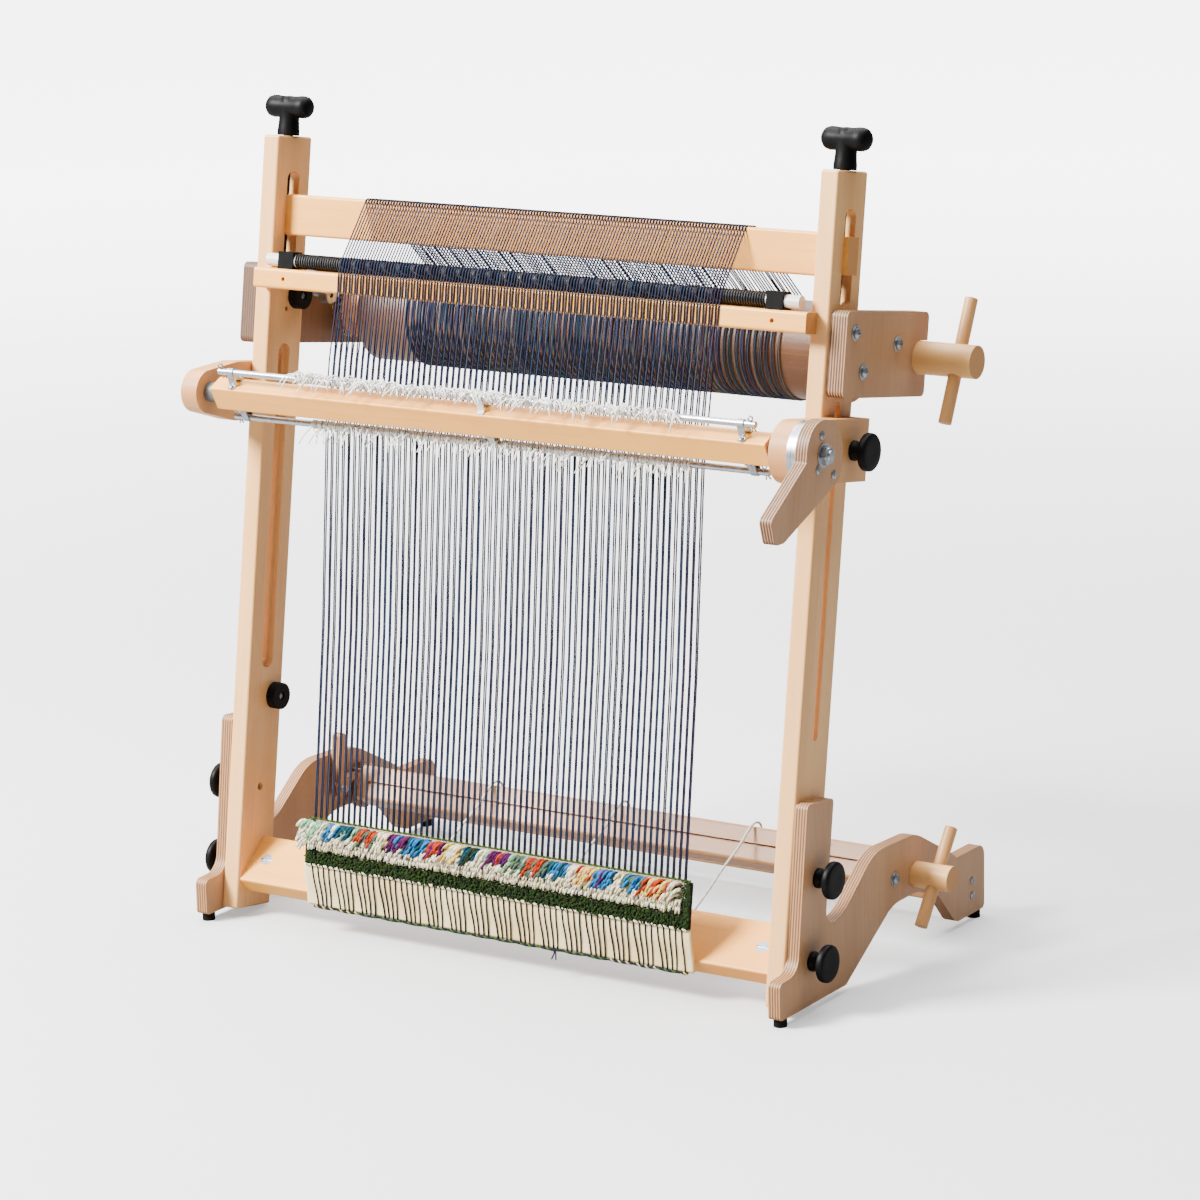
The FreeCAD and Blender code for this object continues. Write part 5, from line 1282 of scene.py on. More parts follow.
@dataclass
class Heddles:
    """Loops of white string tied to the two heddle rods, with their knots and tails."""

    string: float = 0.62
    winding_pitch: float = 2.3
    middle_clip: Pair = (4.0, 7.5)
    white: Colour = (0.90, 0.88, 0.82)

    def loop(self, work: MeshWork, x: float, way: int, target: Pair) -> None:
        """Add one heddle: two legs from its warp thread, a turn about the rod, a knot and two tails.

        Args:
            work: Where it goes.
            x: Where it lies across the loom.
            way: The rod.
            target: The depth and height of its warp thread.
        """
        chance, rod = work.chance, BAR.rod(way)
        dye = varied(self.white, chance, 0.9, 1.08)
        lean = chance.uniform(-1.6, 1.6)
        share = np.linspace(0.0, 1.0, 9)
        bend = arc(rod, BAR.rod_radius + self.string, np.radians(300 * share - 60))
        turn = columns(x + lean * share, *bend)
        depth, height = target
        middle = ((depth + rod[0]) / 2, (height + rod[1]) / 2)
        legs = [
            (x + 0.25, depth - 0.3, height + 1.2),
            (x + 0.6, middle[0], middle[1] + chance.uniform(-1.5, 0.8)),
            (x - 0.5 + lean, middle[0], middle[1] + chance.uniform(-2.0, 0.4)),
            (x - 0.25, depth - 0.3, height - 1.2),
        ]
        work.strand([*legs[:2], *turn, *legs[2:]], self.string, dye=dye)
        angles = around(8)
        eye = columns(x + 1.1 * np.cos(angles), depth + 1.15 * np.sin(angles), height + 0.5 * np.sin(angles))
        work.strand(eye, self.string * 0.9, side=UPWARD, dye=dye, closed=True)
        self.knot(work, x + lean * chance.uniform(0.0, 1.0), way, dye)

    def knot(self, work: MeshWork, x: float, way: int, dye: Colour) -> None:
        """Add a knot on a rod, with the cut tails of its string.

        Args:
            work: Where it goes.
            x: Where it lies across the loom.
            way: The rod.
            dye: The string's colour.
        """
        chance, upper = work.chance, way == UPPER
        angle = math.radians(chance.uniform(60, 175) if upper else chance.uniform(150, 300))
        centre = np.array([x, *arc(BAR.rod(way), BAR.rod_radius + 2.0 * self.string + 0.5, angle)])
        for number, rise in enumerate((-0.9, 0.9)):
            turns = around(8) + number
            depths = 1.2 * np.sin(turns) + 0.4 * number
            coil = columns(1.5 * np.cos(turns), depths, rise * np.sin(turns + 1.1))
            work.strand(centre + coil, self.string * 1.2, dye=dye, closed=True)
        share = np.linspace(0.0, 1.0, 7)
        for _ in range(3 if upper else 2):
            length = chance.uniform(8.0, 17.0) if upper else chance.uniform(4.0, 10.0)
            forward = chance.uniform(-1.0, -0.5)
            lift = chance.uniform(-0.1, 1.0) if upper else chance.uniform(-1.0, 0.1)
            way_out = np.array([chance.uniform(-1.1, 1.1), forward, lift]) * length
            drop = np.array([chance.uniform(-0.35, 0.35), 0.15, -0.95]) * length
            tail = centre + way_out * share[:, None] + drop * share[:, None] ** 2
            work.strand(tail, (1.15 - 0.2 * share) * self.string, dye=dye)

    def winding(self, work: MeshWork, way: int) -> None:
        """Wind string round a rod between the heddles.

        Args:
            work: Where it goes.
            way: The rod.
        """
        middle, half = self.middle_clip
        for start, end in ((PLAN.left + 2.0, middle - half), (middle + half, PLAN.right - 2.0)):
            angles = np.arange(int((end - start) / self.winding_pitch * 10)) * (TURN / 10)
            swell = 1.0 + 0.35 * np.sin(angles * 0.23) + 0.25 * np.sin(angles * 0.071)
            across = start + angles * self.winding_pitch / TURN + 0.6 * np.sin(angles * 0.31)
            line = columns(across, *arc(BAR.rod(way), BAR.rod_radius + self.string * swell, angles))
            shade = work.chance.uniform(0.86, 0.96)
            work.strand(line, self.string, dye=tuple(c * shade for c in self.white))

    def build(self, threads: WarpThreads) -> None:
        """Make both rows of heddles.

        Args:
            threads: The warp that they hold.
        """
        for name, way, target, seed in (
            ("upper_heddle_strings", UPPER, threads.upper_heddle, 32),
            ("lower_heddle_strings", LOWER, threads.lower_heddle, 30),
        ):
            work = MeshWork(seed)
            self.winding(work, way)
            for x in PLAN.paired()[0 if way == UPPER else 1 :: 2]:
                self.loop(work, float(x), way, target)
            depth, height = target
            ends = ((0.0, BAR.rod(way)[0] + 6.0, height), (0.0, depth - 1.5, height))
            piece = work.build(name, Finish.STRING)
            span(piece, ("shed_bar", "shed_carriage"), "heddles", ends)


@dataclass
class ShedFittings:
    """The bands that hold the heddle rods, and the split pins in the rods' ends."""

    end_places: Sequence[float] = (-290.0, 290.0)
    middle_place: float = 4.0
    band_width: float = 7.0
    band: float = 1.1
    pin_place: float = 301.0
    pin_wire: float = 0.75

    def bands(self, places: Sequence[float]) -> MeshWork:
        """Return bands round both rods.

        Args:
            places: Where the bands are across the loom.

        Returns:
            The bands.
        """
        work = MeshWork()
        hold = BAR.rod_radius + self.band / 2 + 0.1
        foot = [(-9.0, BAR.half + 0.7), (-6.0, BAR.half + 0.7), (-4.4, BAR.half + 2.5)]
        bend = columns(*arc((0.0, BAR.rod_offset), hold, np.radians(205 - np.linspace(0.0, 230.0, 9))))
        outline = [*foot, *bend, *((-a, b) for a, b in foot[::-1])]
        xs = np.linspace(-self.band_width / 2, self.band_width / 2, 4)
        for place in places:
            for way in (UPPER, LOWER):
                grid = [[BAR.local(place + x, a * way, b * way) for a, b in outline] for x in xs]
                work.slab(SPACE.leaning(grid), self.band)
        return work

    def end_screws(self) -> None:
        """Make the small round-headed screws that hold the end bands."""
        work = MeshWork()
        dome = [(0.0, 0.0), (2.6, 0.0), (2.6, 0.7), (2.1, 1.6), (1.1, 2.1), (0.0, 2.2)]
        for place in self.end_places:
            for way in (UPPER, LOWER):
                for across in (-7.4, 7.4):
                    seats = [(place, across * way, (BAR.half + lift) * way) for lift in (1.1, 2.1)]
                    foot, tip = (SPACE.leaning(BAR.local(*seat)) for seat in seats)
                    work.turned(dome, foot, tip - foot, 20)
        work.fit("rod_band_screws", Finish.STEEL, "shed_bar", "satin_steel", crease=35.0)

    def pins(self) -> None:
        """Make the split pins."""
        work = MeshWork(41)
        for side in (LEFT, RIGHT):
            for way in (UPPER, LOWER):
                spread = work.chance.uniform(1.6, 2.6)
                eye = [(0.45, -3.0), (0.4, 3.6), (1.6, 5.2), (2.1, 7.2)]
                back = [(-a, b) for a, b in eye[::-1]]
                shape = [(spread, -8.5), *eye, (0.0, 9.6), *back, (-spread * 0.7, -7.6)]
                middle, rod = side * self.pin_place, BAR.rod_offset * way
                line = [BAR.local(middle + wide * 0.8, wide * 0.6, rod + along) for wide, along in shape]
                work.strand(line, self.pin_wire, 6)
        work.fit("rod_split_pins", Finish.ZINC, "shed_bar", "satin_steel", "rod_cotters")

    def build(self) -> None:
        """Make the bands, their screws and the pins."""
        middle, ends = self.bands((self.middle_place,)), self.bands(self.end_places)
        middle.fit("middle_rod_bands", Finish.WHITE, "shed_bar", "white_plastic", "rod_clips", crease=35.0)
        ends.fit("end_rod_bands", Finish.ZINC, "shed_bar", "zinc_steel", crease=35.0)
        self.end_screws()
        self.pins()


# Hand knobs, handles and fasteners


def threaded(radius: float, length: float, pitch: float, crest: Pair, groove: Pair) -> list[Pair]:
    """Return the (radius, height) pairs of a threaded rod.

    Args:
        radius: Its greatest radius.
        length: Its length.
        pitch: The height from turn to turn.
        crest: How far a crest is sunk, and the first one's height.
        groove: How far a groove is sunk, and the first one's height.

    Returns:
        The pairs, from the foot to the top.
    """
    profile = [(0.0, 0.0)]
    for k in range(max(1, int(length / pitch))):
        profile += [(radius - sunk, k * pitch + height) for sunk, height in (crest, groove)]
    return profile + [(0.0, length)]


@dataclass
class HandKnob:
    """A round hand knob with a waisted neck, and its stud."""

    name: str
    side: int
    face: float
    height: float
    stud: float
    depth: float = 28.0
    stud_radius: float = 3.97
    neck: Sequence[Pair] = (
        (0.0, 0.0), (9.3, 0.0), (9.5, 0.6), (9.5, 2.6), (9.0, 3.6), (8.4, 6.5), (8.3, 9.0), (9.4, 11.4),
    )
    head: Sequence[Pair] = (
        (13.0, 12.5), (16.4, 12.9), (17.6, 13.7), (18.0, 15.0), (18.0, 17.6), (17.6, 19.2), (16.6, 20.1),
        (14.8, 20.55), (9.0, 20.35), (0.0, 20.3),
    )

    def build(self) -> None:
        """Make the knob."""
        at = SPACE.leaning((self.side * (self.face + 0.3), self.depth, self.height))
        grip, rod = MeshWork(), MeshWork()
        grip.turned([*self.neck, *self.head], at, ACROSS * self.side, 48)
        grip.fit(self.name + "_grip", Finish.GRIP, self.name, "black_plastic", self.name, crease=50.0)
        thread = threaded(self.stud_radius, self.stud, 1.25, (0.0, 0.2), (0.5, 0.8))
        rod.turned(thread, at, -ACROSS * self.side, 14)
        rod.fit(self.name + "_stud", Finish.ZINC, self.name, "zinc_steel", smooth=False)


@dataclass
class TensionHandle:
    """A moulded T handle on its threaded rod."""

    name: str
    side: int
    turn: float
    place: float = 317.875
    depth: float = 28.0
    foot: float = 777.3
    bar_height: float = 28.6
    bar_length: float = 53.0
    rod_low: float = 656.0
    rod_radius: float = 4.76
    half: Sequence[Pair] = (
        (0.0, 0.0), (4.6, 0.25), (8.0, 1.5), (10.2, 4.0), (11.1, 7.5), (11.1, 12.0), (10.5, 17.0),
        (10.4, 22.0),
    )
    stem: Sequence[Pair] = (
        (0.0, 0.0), (10.4, 0.0), (11.0, 0.7), (11.0, 5.0), (10.5, 9.0), (10.1, 15.0), (10.1, 27.0),
        (9.8, 33.0), (8.6, 36.6), (6.0, 38.8), (0.0, 39.4),
    )

    def at(self, height: float) -> Triple:
        """Return a point on the rod's axis."""
        return (self.side * self.place, self.depth, height)

    def grip(self) -> Piece:
        """Make the moulded grip as one skin."""
        bar, stem = MeshWork(), MeshWork()
        way = np.array([math.cos(self.turn), math.sin(self.turn), 0.0])
        half = [*self.half, (10.4, self.bar_length / 2)]
        profile = half + [(r, self.bar_length - h) for r, h in half[-2::-1]]
        end = np.array(self.at(self.foot + self.bar_height)) - way * self.bar_length / 2
        bar.turned(profile, SPACE.leaning(end), SPACE.direction(way), 40)
        stem.turned(self.stem, SPACE.leaning(self.at(self.foot)), SPACE.direction(UPWARD), 40)
        body, tool = bar.build(self.name + "_grip", Finish.GRIP), stem.build(self.name + "_stem", Finish.GRIP)
        joined = body.modifiers.new("joined", "BOOLEAN")
        joined.operation, joined.object, joined.solver = "UNION", tool, "EXACT"
        graph = bpy.context.evaluated_depsgraph_get()
        mesh = bpy.data.meshes.new_from_object(body.evaluated_get(graph))
        body.modifiers.clear()
        body.data = mesh
        bpy.data.objects.remove(tool)
        mesh.materials.clear()
        mesh.materials.append(Finish.GRIP.material())
        for key, value in (("use_smooth", True), ("material_index", 0)):
            mesh.polygons.foreach_set(key, np.full(len(mesh.polygons), value))
        mesh.set_sharp_from_angle(angle=math.radians(40.0))
        return body

    def build(self) -> None:
        """Make the handle and its rod."""
        settle(self.grip(), self.name, "black_plastic", self.name)
        rod = MeshWork()
        profile = threaded(self.rod_radius, self.foot + 1.0 - self.rod_low, 1.6, (0.0, 0.9), (0.7, 1.7))
        profile.insert(1, (3.6, 0.0))
        rod.turned(profile, SPACE.leaning(self.at(self.rod_low)), SPACE.direction(UPWARD), 16)
        rod.fit(self.name + "_rod", Finish.DARK_THREAD, self.name, "zinc_steel", smooth=False)


class Drive(Enum):
    """How a screw head is turned."""

    CROSS = "cross"
    HEX = "hex"


class Kind(Enum):
    """The fasteners, as head radius, head height, shank radius, drive and washer radius."""

    PLATE_SCREW = (5.2, 3.4, 3.0, Drive.CROSS, 7.5)
    PIVOT_SCREW = (5.2, 3.4, 3.1, Drive.CROSS, 7.5)
    PIVOT_NUT = (5.2, 4.8, 3.1, Drive.HEX, 0.0)
    CROSSBAR_SCREW = (4.2, 1.5, 2.2, Drive.CROSS, 0.0)
    BUMPER_SCREW = (3.6, 2.1, 1.8, Drive.CROSS, 0.0)
    LEVER_SCREW = (4.0, 1.8, 2.0, Drive.CROSS, 0.0)
    LEVER_BOLT = (9.0, 5.6, 5.0, Drive.HEX, 11.5)


class Fastener:
    """One screw, bolt or nut, by its face and the way that it points out."""

    washer_height = 1.2
    pitch = 1.1

    def __init__(self, kind: Kind, at: Points, out: Points, reach: float) -> None:
        """Take the sizes of a kind.

        Args:
            kind: The kind.
            at: The middle of the face that it lies on, in metres.
            out: The way out of that face.
            reach: The length of the shank behind the face, in millimetres.
        """
        self.head, self.height, self.shank, self.drive, self.washer = kind.value
        self.at, self.out, self.reach = at, out, reach

    def cross_head(self, work: MeshWork, seat: float) -> None:
        """Add a domed head with a cross sunk in it.

        Args:
            work: Where it goes.
            seat: The height of its underside above the face.
        """
        sides, steps = 48, 9
        cosines, sines = np.cos(around(sides)), np.sin(around(sides))
        first, second = square_to(self.out)
        spokes = cosines[:, None] * first + sines[:, None] * second
        narrow = np.minimum(np.abs(cosines), np.abs(sines))
        rings = [(wide, np.full(sides, high)) for wide, high in ((0.94, 0.0), (1.0, 0.18), (1.0, 0.45))]
        for share in np.arange(1, steps) / steps:
            dome = 0.45 + 0.55 * math.sin(math.pi / 2 * min(1.0, 1.6 * share))
            sunk = (narrow * (1 - share) < 0.15) & (1 - share < 0.66)
            rings.append((1 - share, np.where(sunk, dome - 0.5, dome)))
        stack = [
            self.at + (spokes * wide * self.head + self.out * (seat + heights * self.height)[:, None]) * MM
            for wide, heights in rings
        ]
        caps = [self.at + self.out * (seat + self.height * share) * MM for share in (0.0, 0.5)]
        work.stack(np.array(stack), caps)

    def flats(self, radius: float, angles: Points) -> Points:
        """Draw a ring of a nut in to six flats.

        Args:
            radius: The ring's radius.
            angles: The angles round it.

        Returns:
            The radii round it.
        """
        if radius < self.head * 0.8:
            return np.full(len(angles), radius)
        return np.minimum(radius, self.head * 0.87 / np.cos(np.mod(angles, math.pi / 3) - math.pi / 6))

    def add(self, work: MeshWork) -> None:
        """Add the whole fastener.

        Args:
            work: Where it goes.
        """
        seat = self.washer_height if self.washer else 0.0
        if self.washer:
            inner, edge = self.shank + 0.3, self.washer - 0.3
            ring = [(inner, 0.0), (edge, 0.0), (self.washer, 0.3), (self.washer, seat - 0.3)]
            work.turned([*ring, (edge, seat), (inner, seat)], self.at, self.out, 36)
        if self.drive is Drive.HEX:
            edge, top, shank = self.head, seat + self.height, self.shank
            nut = [(0.0, seat), (edge * 0.9, seat), (edge, seat + 0.5), (edge, top - 0.9), (edge * 0.86, top)]
            nut += [(shank + 0.4, top), (shank, top + 0.1), (shank * 0.9, top + 1.3), (0.0, top + 1.7)]
            work.turned(nut, self.at, self.out, 36, self.flats)
        else:
            self.cross_head(work, seat)
        rod = threaded(self.shank, self.reach + seat, self.pitch, (0.0, 0.1), (0.35, 0.6))
        work.turned(rod, self.at + self.out * seat * MM, -self.out, 12)


@dataclass
class Fasteners:
    """All the screws and bolts of the loom."""

    plate_face: float = 345.4
    ply_face: float = 340.05
    half_width: float = 327.4
    inner_face: float = 308.35
    lever_face: float = 368.45
    pawl: Pair = (101.0, 620.0)
    cloth_pawl: Pair = (194.0, 87.0)

    def plates(self) -> list[Fastener]:
        """Return the screws of the beam plates and the pawls' pivots."""
        found = []
        for side, longer in ((LEFT, 11.0), (RIGHT, 0.0)):
            for kind, place, reach in (
                (Kind.PLATE_SCREW, (19.4, 630.0), 31.0),
                (Kind.PLATE_SCREW, (38.3, 594.3), 31.0),
                (Kind.PIVOT_SCREW, self.pawl, 26.0 + longer),
            ):
                at = SPACE.leaning((side * self.plate_face, *place))
                found.append(Fastener(kind, at, ACROSS * side, reach))
            at = SPACE.level((side * self.ply_face, *self.cloth_pawl))
            found.append(Fastener(Kind.PIVOT_SCREW, at, ACROSS * side, 20.7 + longer))
        for into, place in ((SPACE.leaning, self.pawl), (SPACE.level, self.cloth_pawl)):
            found.append(Fastener(Kind.PIVOT_NUT, into((self.half_width, *place)), -ACROSS, 1.0))
        return found

    def wood(self) -> list[Fastener]:
        """Return the crossbar's and the bumpers' screws."""
        found = []
        for side in (LEFT, RIGHT):
            for height in (27.2, 42.4):
                at = SPACE.level((side * self.ply_face, 352.475, height))
                found.append(Fastener(Kind.CROSSBAR_SCREW, at, ACROSS * side, 20.0))
            for height in (215.0, 619.0):
                at = SPACE.leaning((side * (self.inner_face - 7.0), 43.0, height))
                found.append(Fastener(Kind.BUMPER_SCREW, at, -ACROSS * side, 12.0))
        return found

    def lever(self) -> list[Fastener]:
        """Return the lever's small screws."""
        found = []
        for depth, height in ((-9.0, -13.0), (-6.0, 18.0), (20.0, -18.0)):
            at = SPACE.leaning((self.lever_face, BAR.axis[0] + depth, BAR.axis[1] + height))
            found.append(Fastener(Kind.LEVER_SCREW, at, ACROSS, 14.0))
        return found

    def pivot(self) -> list[Fastener]:
        """Return the lever's pivot bolt with its washer and nut."""
        return [Fastener(Kind.LEVER_BOLT, SPACE.leaning((self.lever_face, *BAR.axis)), ACROSS, 80.0)]

    def build(self) -> None:
        """Make every set on its body."""
        pin = [(0.0, 0.0), (4.6, 0.0), (5.0, 0.4), (5.0, 61.0), (0.0, 61.4)]
        for name, fasteners, body, node in (
            ("frame_fasteners", self.plates(), "frame", "frame_bolts"),
            ("small_wood_screws", self.wood(), "frame", "wood_screws"),
            ("lever_small_screws", self.lever(), "shed_bar", "lever_screws"),
            ("lever_pivot_bolt", self.pivot(), "shed_bar", "shed_pivots"),
        ):
            work = MeshWork()
            for fastener in fasteners:
                fastener.add(work)
            if node == "shed_pivots":
                work.turned(pin, SPACE.leaning((-346.45, *BAR.axis)), ACROSS, 24)
            work.fit(name, Finish.ZINC, body, "zinc_steel", node, crease=30.0)


# The woven sample and the cloth strip below it


class Wool(Enum):
    """The sample's dyes."""

    WHITE = (0.72, 0.65, 0.46)
    SHADE = (0.50, 0.44, 0.28)
    MINT = (0.20, 0.38, 0.23)
    SKY = (0.010, 0.120, 0.300)
    RUST = (0.340, 0.028, 0.004)
    SAGE = (0.060, 0.100, 0.065)
    PLUM = (0.070, 0.004, 0.055)
    TEAL = (0.004, 0.045, 0.070)
    BUTTER = (0.600, 0.420, 0.110)
    MOSS = (0.014, 0.031, 0.003)
    LEAF = (0.055, 0.110, 0.008)
    PINE = (0.006, 0.017, 0.003)


@dataclass
class WovenSample:
    """A narrow piece of shaggy weaving with a green edge."""

    left: float = -216.0
    right: float = 227.0
    low: float = 62.0
    high: float = 108.0
    depth: float = -10.0
    band_top: float = 74.0
    streak: float = 4.4
    slant: float = 3.4
    fringe: float = 14.0
    row_step: float = 1.15
    weft_radius: float = 0.82
    edge_loop: Pair = (3.4, 2.2)
    pile_rows: int = 5
    pile_top: float = 4.5
    pile_step: Pair = (3.4, 5.3)
    moss_step: Pair = (3.0, 4.0)
    groups: str = (
        "14 MINT WHITE, 16 SKY WHITE, 18 TEAL MINT, 30 RUST SAGE, 14 WHITE BUTTER, 22 PLUM SKY, "
        "24 SKY TEAL, 20 RUST PLUM, 20 BUTTER WHITE, 18 PINE TEAL, 12 WHITE MINT, 24 PLUM RUST, "
        "22 SAGE MINT, 24 RUST SAGE, 20 TEAL SKY, 14 WHITE SKY, 20 BUTTER RUST, 20 SKY PLUM, "
        "12 WHITE PINE, 22 SAGE SKY, 26 RUST BUTTER, 30 WHITE SHADE"
    )

    def layout(self) -> list[tuple[float, Wool, Wool]]:
        """Return the coloured groups of the upper pile, as width, first and second dye."""
        words = (group.split() for group in self.groups.split(", "))
        return [(float(width), Wool[first], Wool[second]) for width, first, second in words]

    def dye_at(self, x: float, row: int, chance: random.Random) -> Wool:
        """Return the dye of one tuft.

        Args:
            x: Where it is across the sample.
            row: Its row, from the top.
            chance: The source of its unevenness.

        Returns:
            The dye.
        """
        if row > 2 or (row == 2 and chance.random() < 0.35):
            return Wool.WHITE if chance.random() < 0.88 else Wool.SHADE
        place = self.left + self.fringe
        slanted = x + row * self.slant
        column = int((slanted - self.left) / self.streak)
        for width, first, second in self.layout():
            if slanted < place + width:
                return second if column % 3 == 2 else first
            place += width
        return Wool.WHITE

    def ground(self) -> Piece:
        """Make the ribbed cloth that the weft and the pile stand on."""
        xs = np.linspace(self.left + 0.5, self.right - 0.5, 280)
        heights = np.arange(self.low + 0.6, self.high - 1.0, 0.42)[:, None]
        ribs = self.depth + 0.14 * np.sin(xs * math.pi / 3.36) * np.sin(heights * 2.2)
        work = MeshWork()
        work.slab(SPACE.leaning(columns(xs, ribs, heights))[::-1], 0.9, Wool.SHADE.value)
        return work.fit("sample_ground", Finish.WEFT, "frame", "woven_wool", "woven_sample")

    def weft(self) -> Piece:
        """Make the rows of weft that dip between the warp threads, and the green loops at both edges."""
        work = MeshWork(51)
        chance = work.chance
        xs = np.arange(self.left, self.right + 0.1, (self.right - self.left) / 132 / 2)
        rows = int((self.high - 1.5 - self.low) / self.row_step)
        levels = [self.low + 0.9 + row * self.row_step for row in range(rows)]
        for row, height in enumerate(levels):
            swing = 0.75 if row % 2 else -0.75
            forward = -1.2 if height < self.band_top else 0.0
            depths = self.depth + swing * np.sin(np.arange(len(xs)) * math.pi / 2 + 0.4) + forward
            heights = height + 0.16 * np.sin(xs * 0.11 + row) + chance.uniform(-0.08, 0.08)
            base = Wool.MOSS if height < self.band_top + 6 else Wool.SHADE
            dye = varied(base.value, chance, 0.75, 1.25)
            work.strand(columns(xs, depths, heights), self.weft_radius, dye=dye)
        across, forward = self.edge_loop[0] * np.cos(around(8)), self.edge_loop[1] * np.sin(around(8))
        for edge in (self.left + 1.0, self.right - 1.0):
            for height in levels:
                loop = columns(edge + across, self.depth - 1.0 + forward, height)
                dye = varied(Wool.PINE.value, chance, 0.7, 1.2)
                work.strand(loop, 0.85, side=UPWARD, dye=dye, closed=True)
        return work.fit("sample_weft_rows", Finish.WEFT, "frame", "woven_wool")

    def tuft(self, work: MeshWork, x: float, height: float, wool: Wool, long: bool) -> None:
        """Add one tuft of cut strands that curl down and forward.

        Args:
            work: Where it goes.
            x: Its place across.
            height: Its knot's height.
            wool: Its dye.
            long: Whether its strands are the long slanting ones of the upper rows.
        """
        chance = work.chance
        short_ranges = ((8.0, 12.5), (-0.6, 0.35), (0.4, 0.9))
        ranges = ((11.0, 15.0), (-1.0, -0.55), (0.45, 0.75)) if long else short_ranges
        taper = np.array([0.8, 1.0, 1.08, 1.0, 0.62]) * (1.45 if long else 1.0)
        t = np.linspace(0.0, 1.0, 5)
        for _ in range(2 if long else 3):
            length, side, out = (chance.uniform(*ends) for ends in ranges)
            shift, lift = chance.uniform(-1.3, 1.3), chance.uniform(-1.0, 1.0)
            root = np.array([x + shift, self.depth - 1.6, height + lift])
            dye = varied(wool.value, chance, 0.82, 1.12)
            curl = columns(side * 0.7 * t, -out * (t - 0.38 * t * t), 0.32 * t - 0.78 * t * t) * length
            work.strand(root + curl, taper * chance.uniform(0.85, 1.15), 6, dye=dye)

    def pile(self) -> Piece:
        """Make the shaggy pile."""
        work = MeshWork(52)
        step, drop = self.pile_step
        for row in range(self.pile_rows):
            height = self.high - self.pile_top - row * drop
            for x in np.arange(self.left + 4.0, self.right - 9.0, step):
                wool = self.dye_at(float(x), row, work.chance)
                self.tuft(work, float(x) + row % 2 * step / 2, height, wool, row < 3)
        for height in np.arange(self.high - 25.0, self.high - 2.0, 1.1):
            wool = Wool.MINT if work.chance.random() < 0.35 else Wool.WHITE
            self.tuft(work, self.left + work.chance.uniform(-4.0, 4.0), float(height), wool, True)
        return work.fit("sample_pile", Finish.PILE, "frame", "woven_wool")

    def edge_tufts(self) -> Piece:
        """Make the mossy green tufts of the lower band and both ends."""
        work = MeshWork(53)
        chance = work.chance
        step, rise = self.moss_step
        across = np.arange(self.left + 2, self.right - 2, step)
        upward = np.arange(self.low + 6, self.high - 2, 3.4)
        places = [(x, self.low + 3.0 + rise * row) for row in range(3) for x in across]
        for edge in (self.left + 4.0, self.right - 4.0):
            places += [(edge + shift, height) for shift in (-2.5, 1.0, 4.0) for height in upward]
        for x, height in places:
            for _ in range(3):
                length = chance.uniform(2.6, 4.6)
                shift, lift = chance.uniform(-1.5, 1.5), chance.uniform(-1.8, 1.8)
                root = np.array([x + shift, self.depth - 2.0, height + lift])
                way = np.array([chance.uniform(-0.8, 0.8), -0.6, chance.uniform(-0.9, 0.2)]) * length
                wool = chance.choice((Wool.MOSS, Wool.PINE, Wool.MOSS))
                dye = varied(wool.value, chance, 0.6, 1.45)
                line = [root, root + way * 0.55, root + way + np.array([0.0, 0.25, -0.5])]
                work.strand(line, np.array([0.9, 1.0, 0.6]) * 0.85, dye=dye)
        return work.fit("sample_green_edge", Finish.PILE, "frame", "woven_wool")

    def twined(self, work: MeshWork, centre: Pair, radius: float, dyes: Sequence[Wool]) -> None:
        """Add a row of strands twined about each other across the sample.

        Args:
            work: Where it goes.
            centre: Its depth and height.
            radius: The strands' radius.
            dyes: The strands' dyes.
        """
        xs = np.arange(self.left, self.right, 0.84)
        for wool, phase in zip(dyes, around(len(dyes))):
            bend = arc(centre, 0.9 * radius, xs * (TURN / 6.72) + phase)
            work.strand(columns(xs, *bend), radius, 6, dye=wool.value)

    def build(self) -> None:
        """Make the whole sample."""
        ground = self.ground()
        upon = [self.weft(), self.pile(), self.edge_tufts()]
        work = MeshWork()
        self.twined(work, (self.depth - 0.6, self.high - 0.4), 0.62, (Wool.LEAF, Wool.MOSS))
        self.twined(work, (self.depth - 1.6, self.low - 0.9), 0.95, (Wool.WHITE, Wool.WHITE, Wool.PINE))
        upon.append(work.fit("sample_twined_rows", Finish.WEFT, "frame", "woven_wool"))


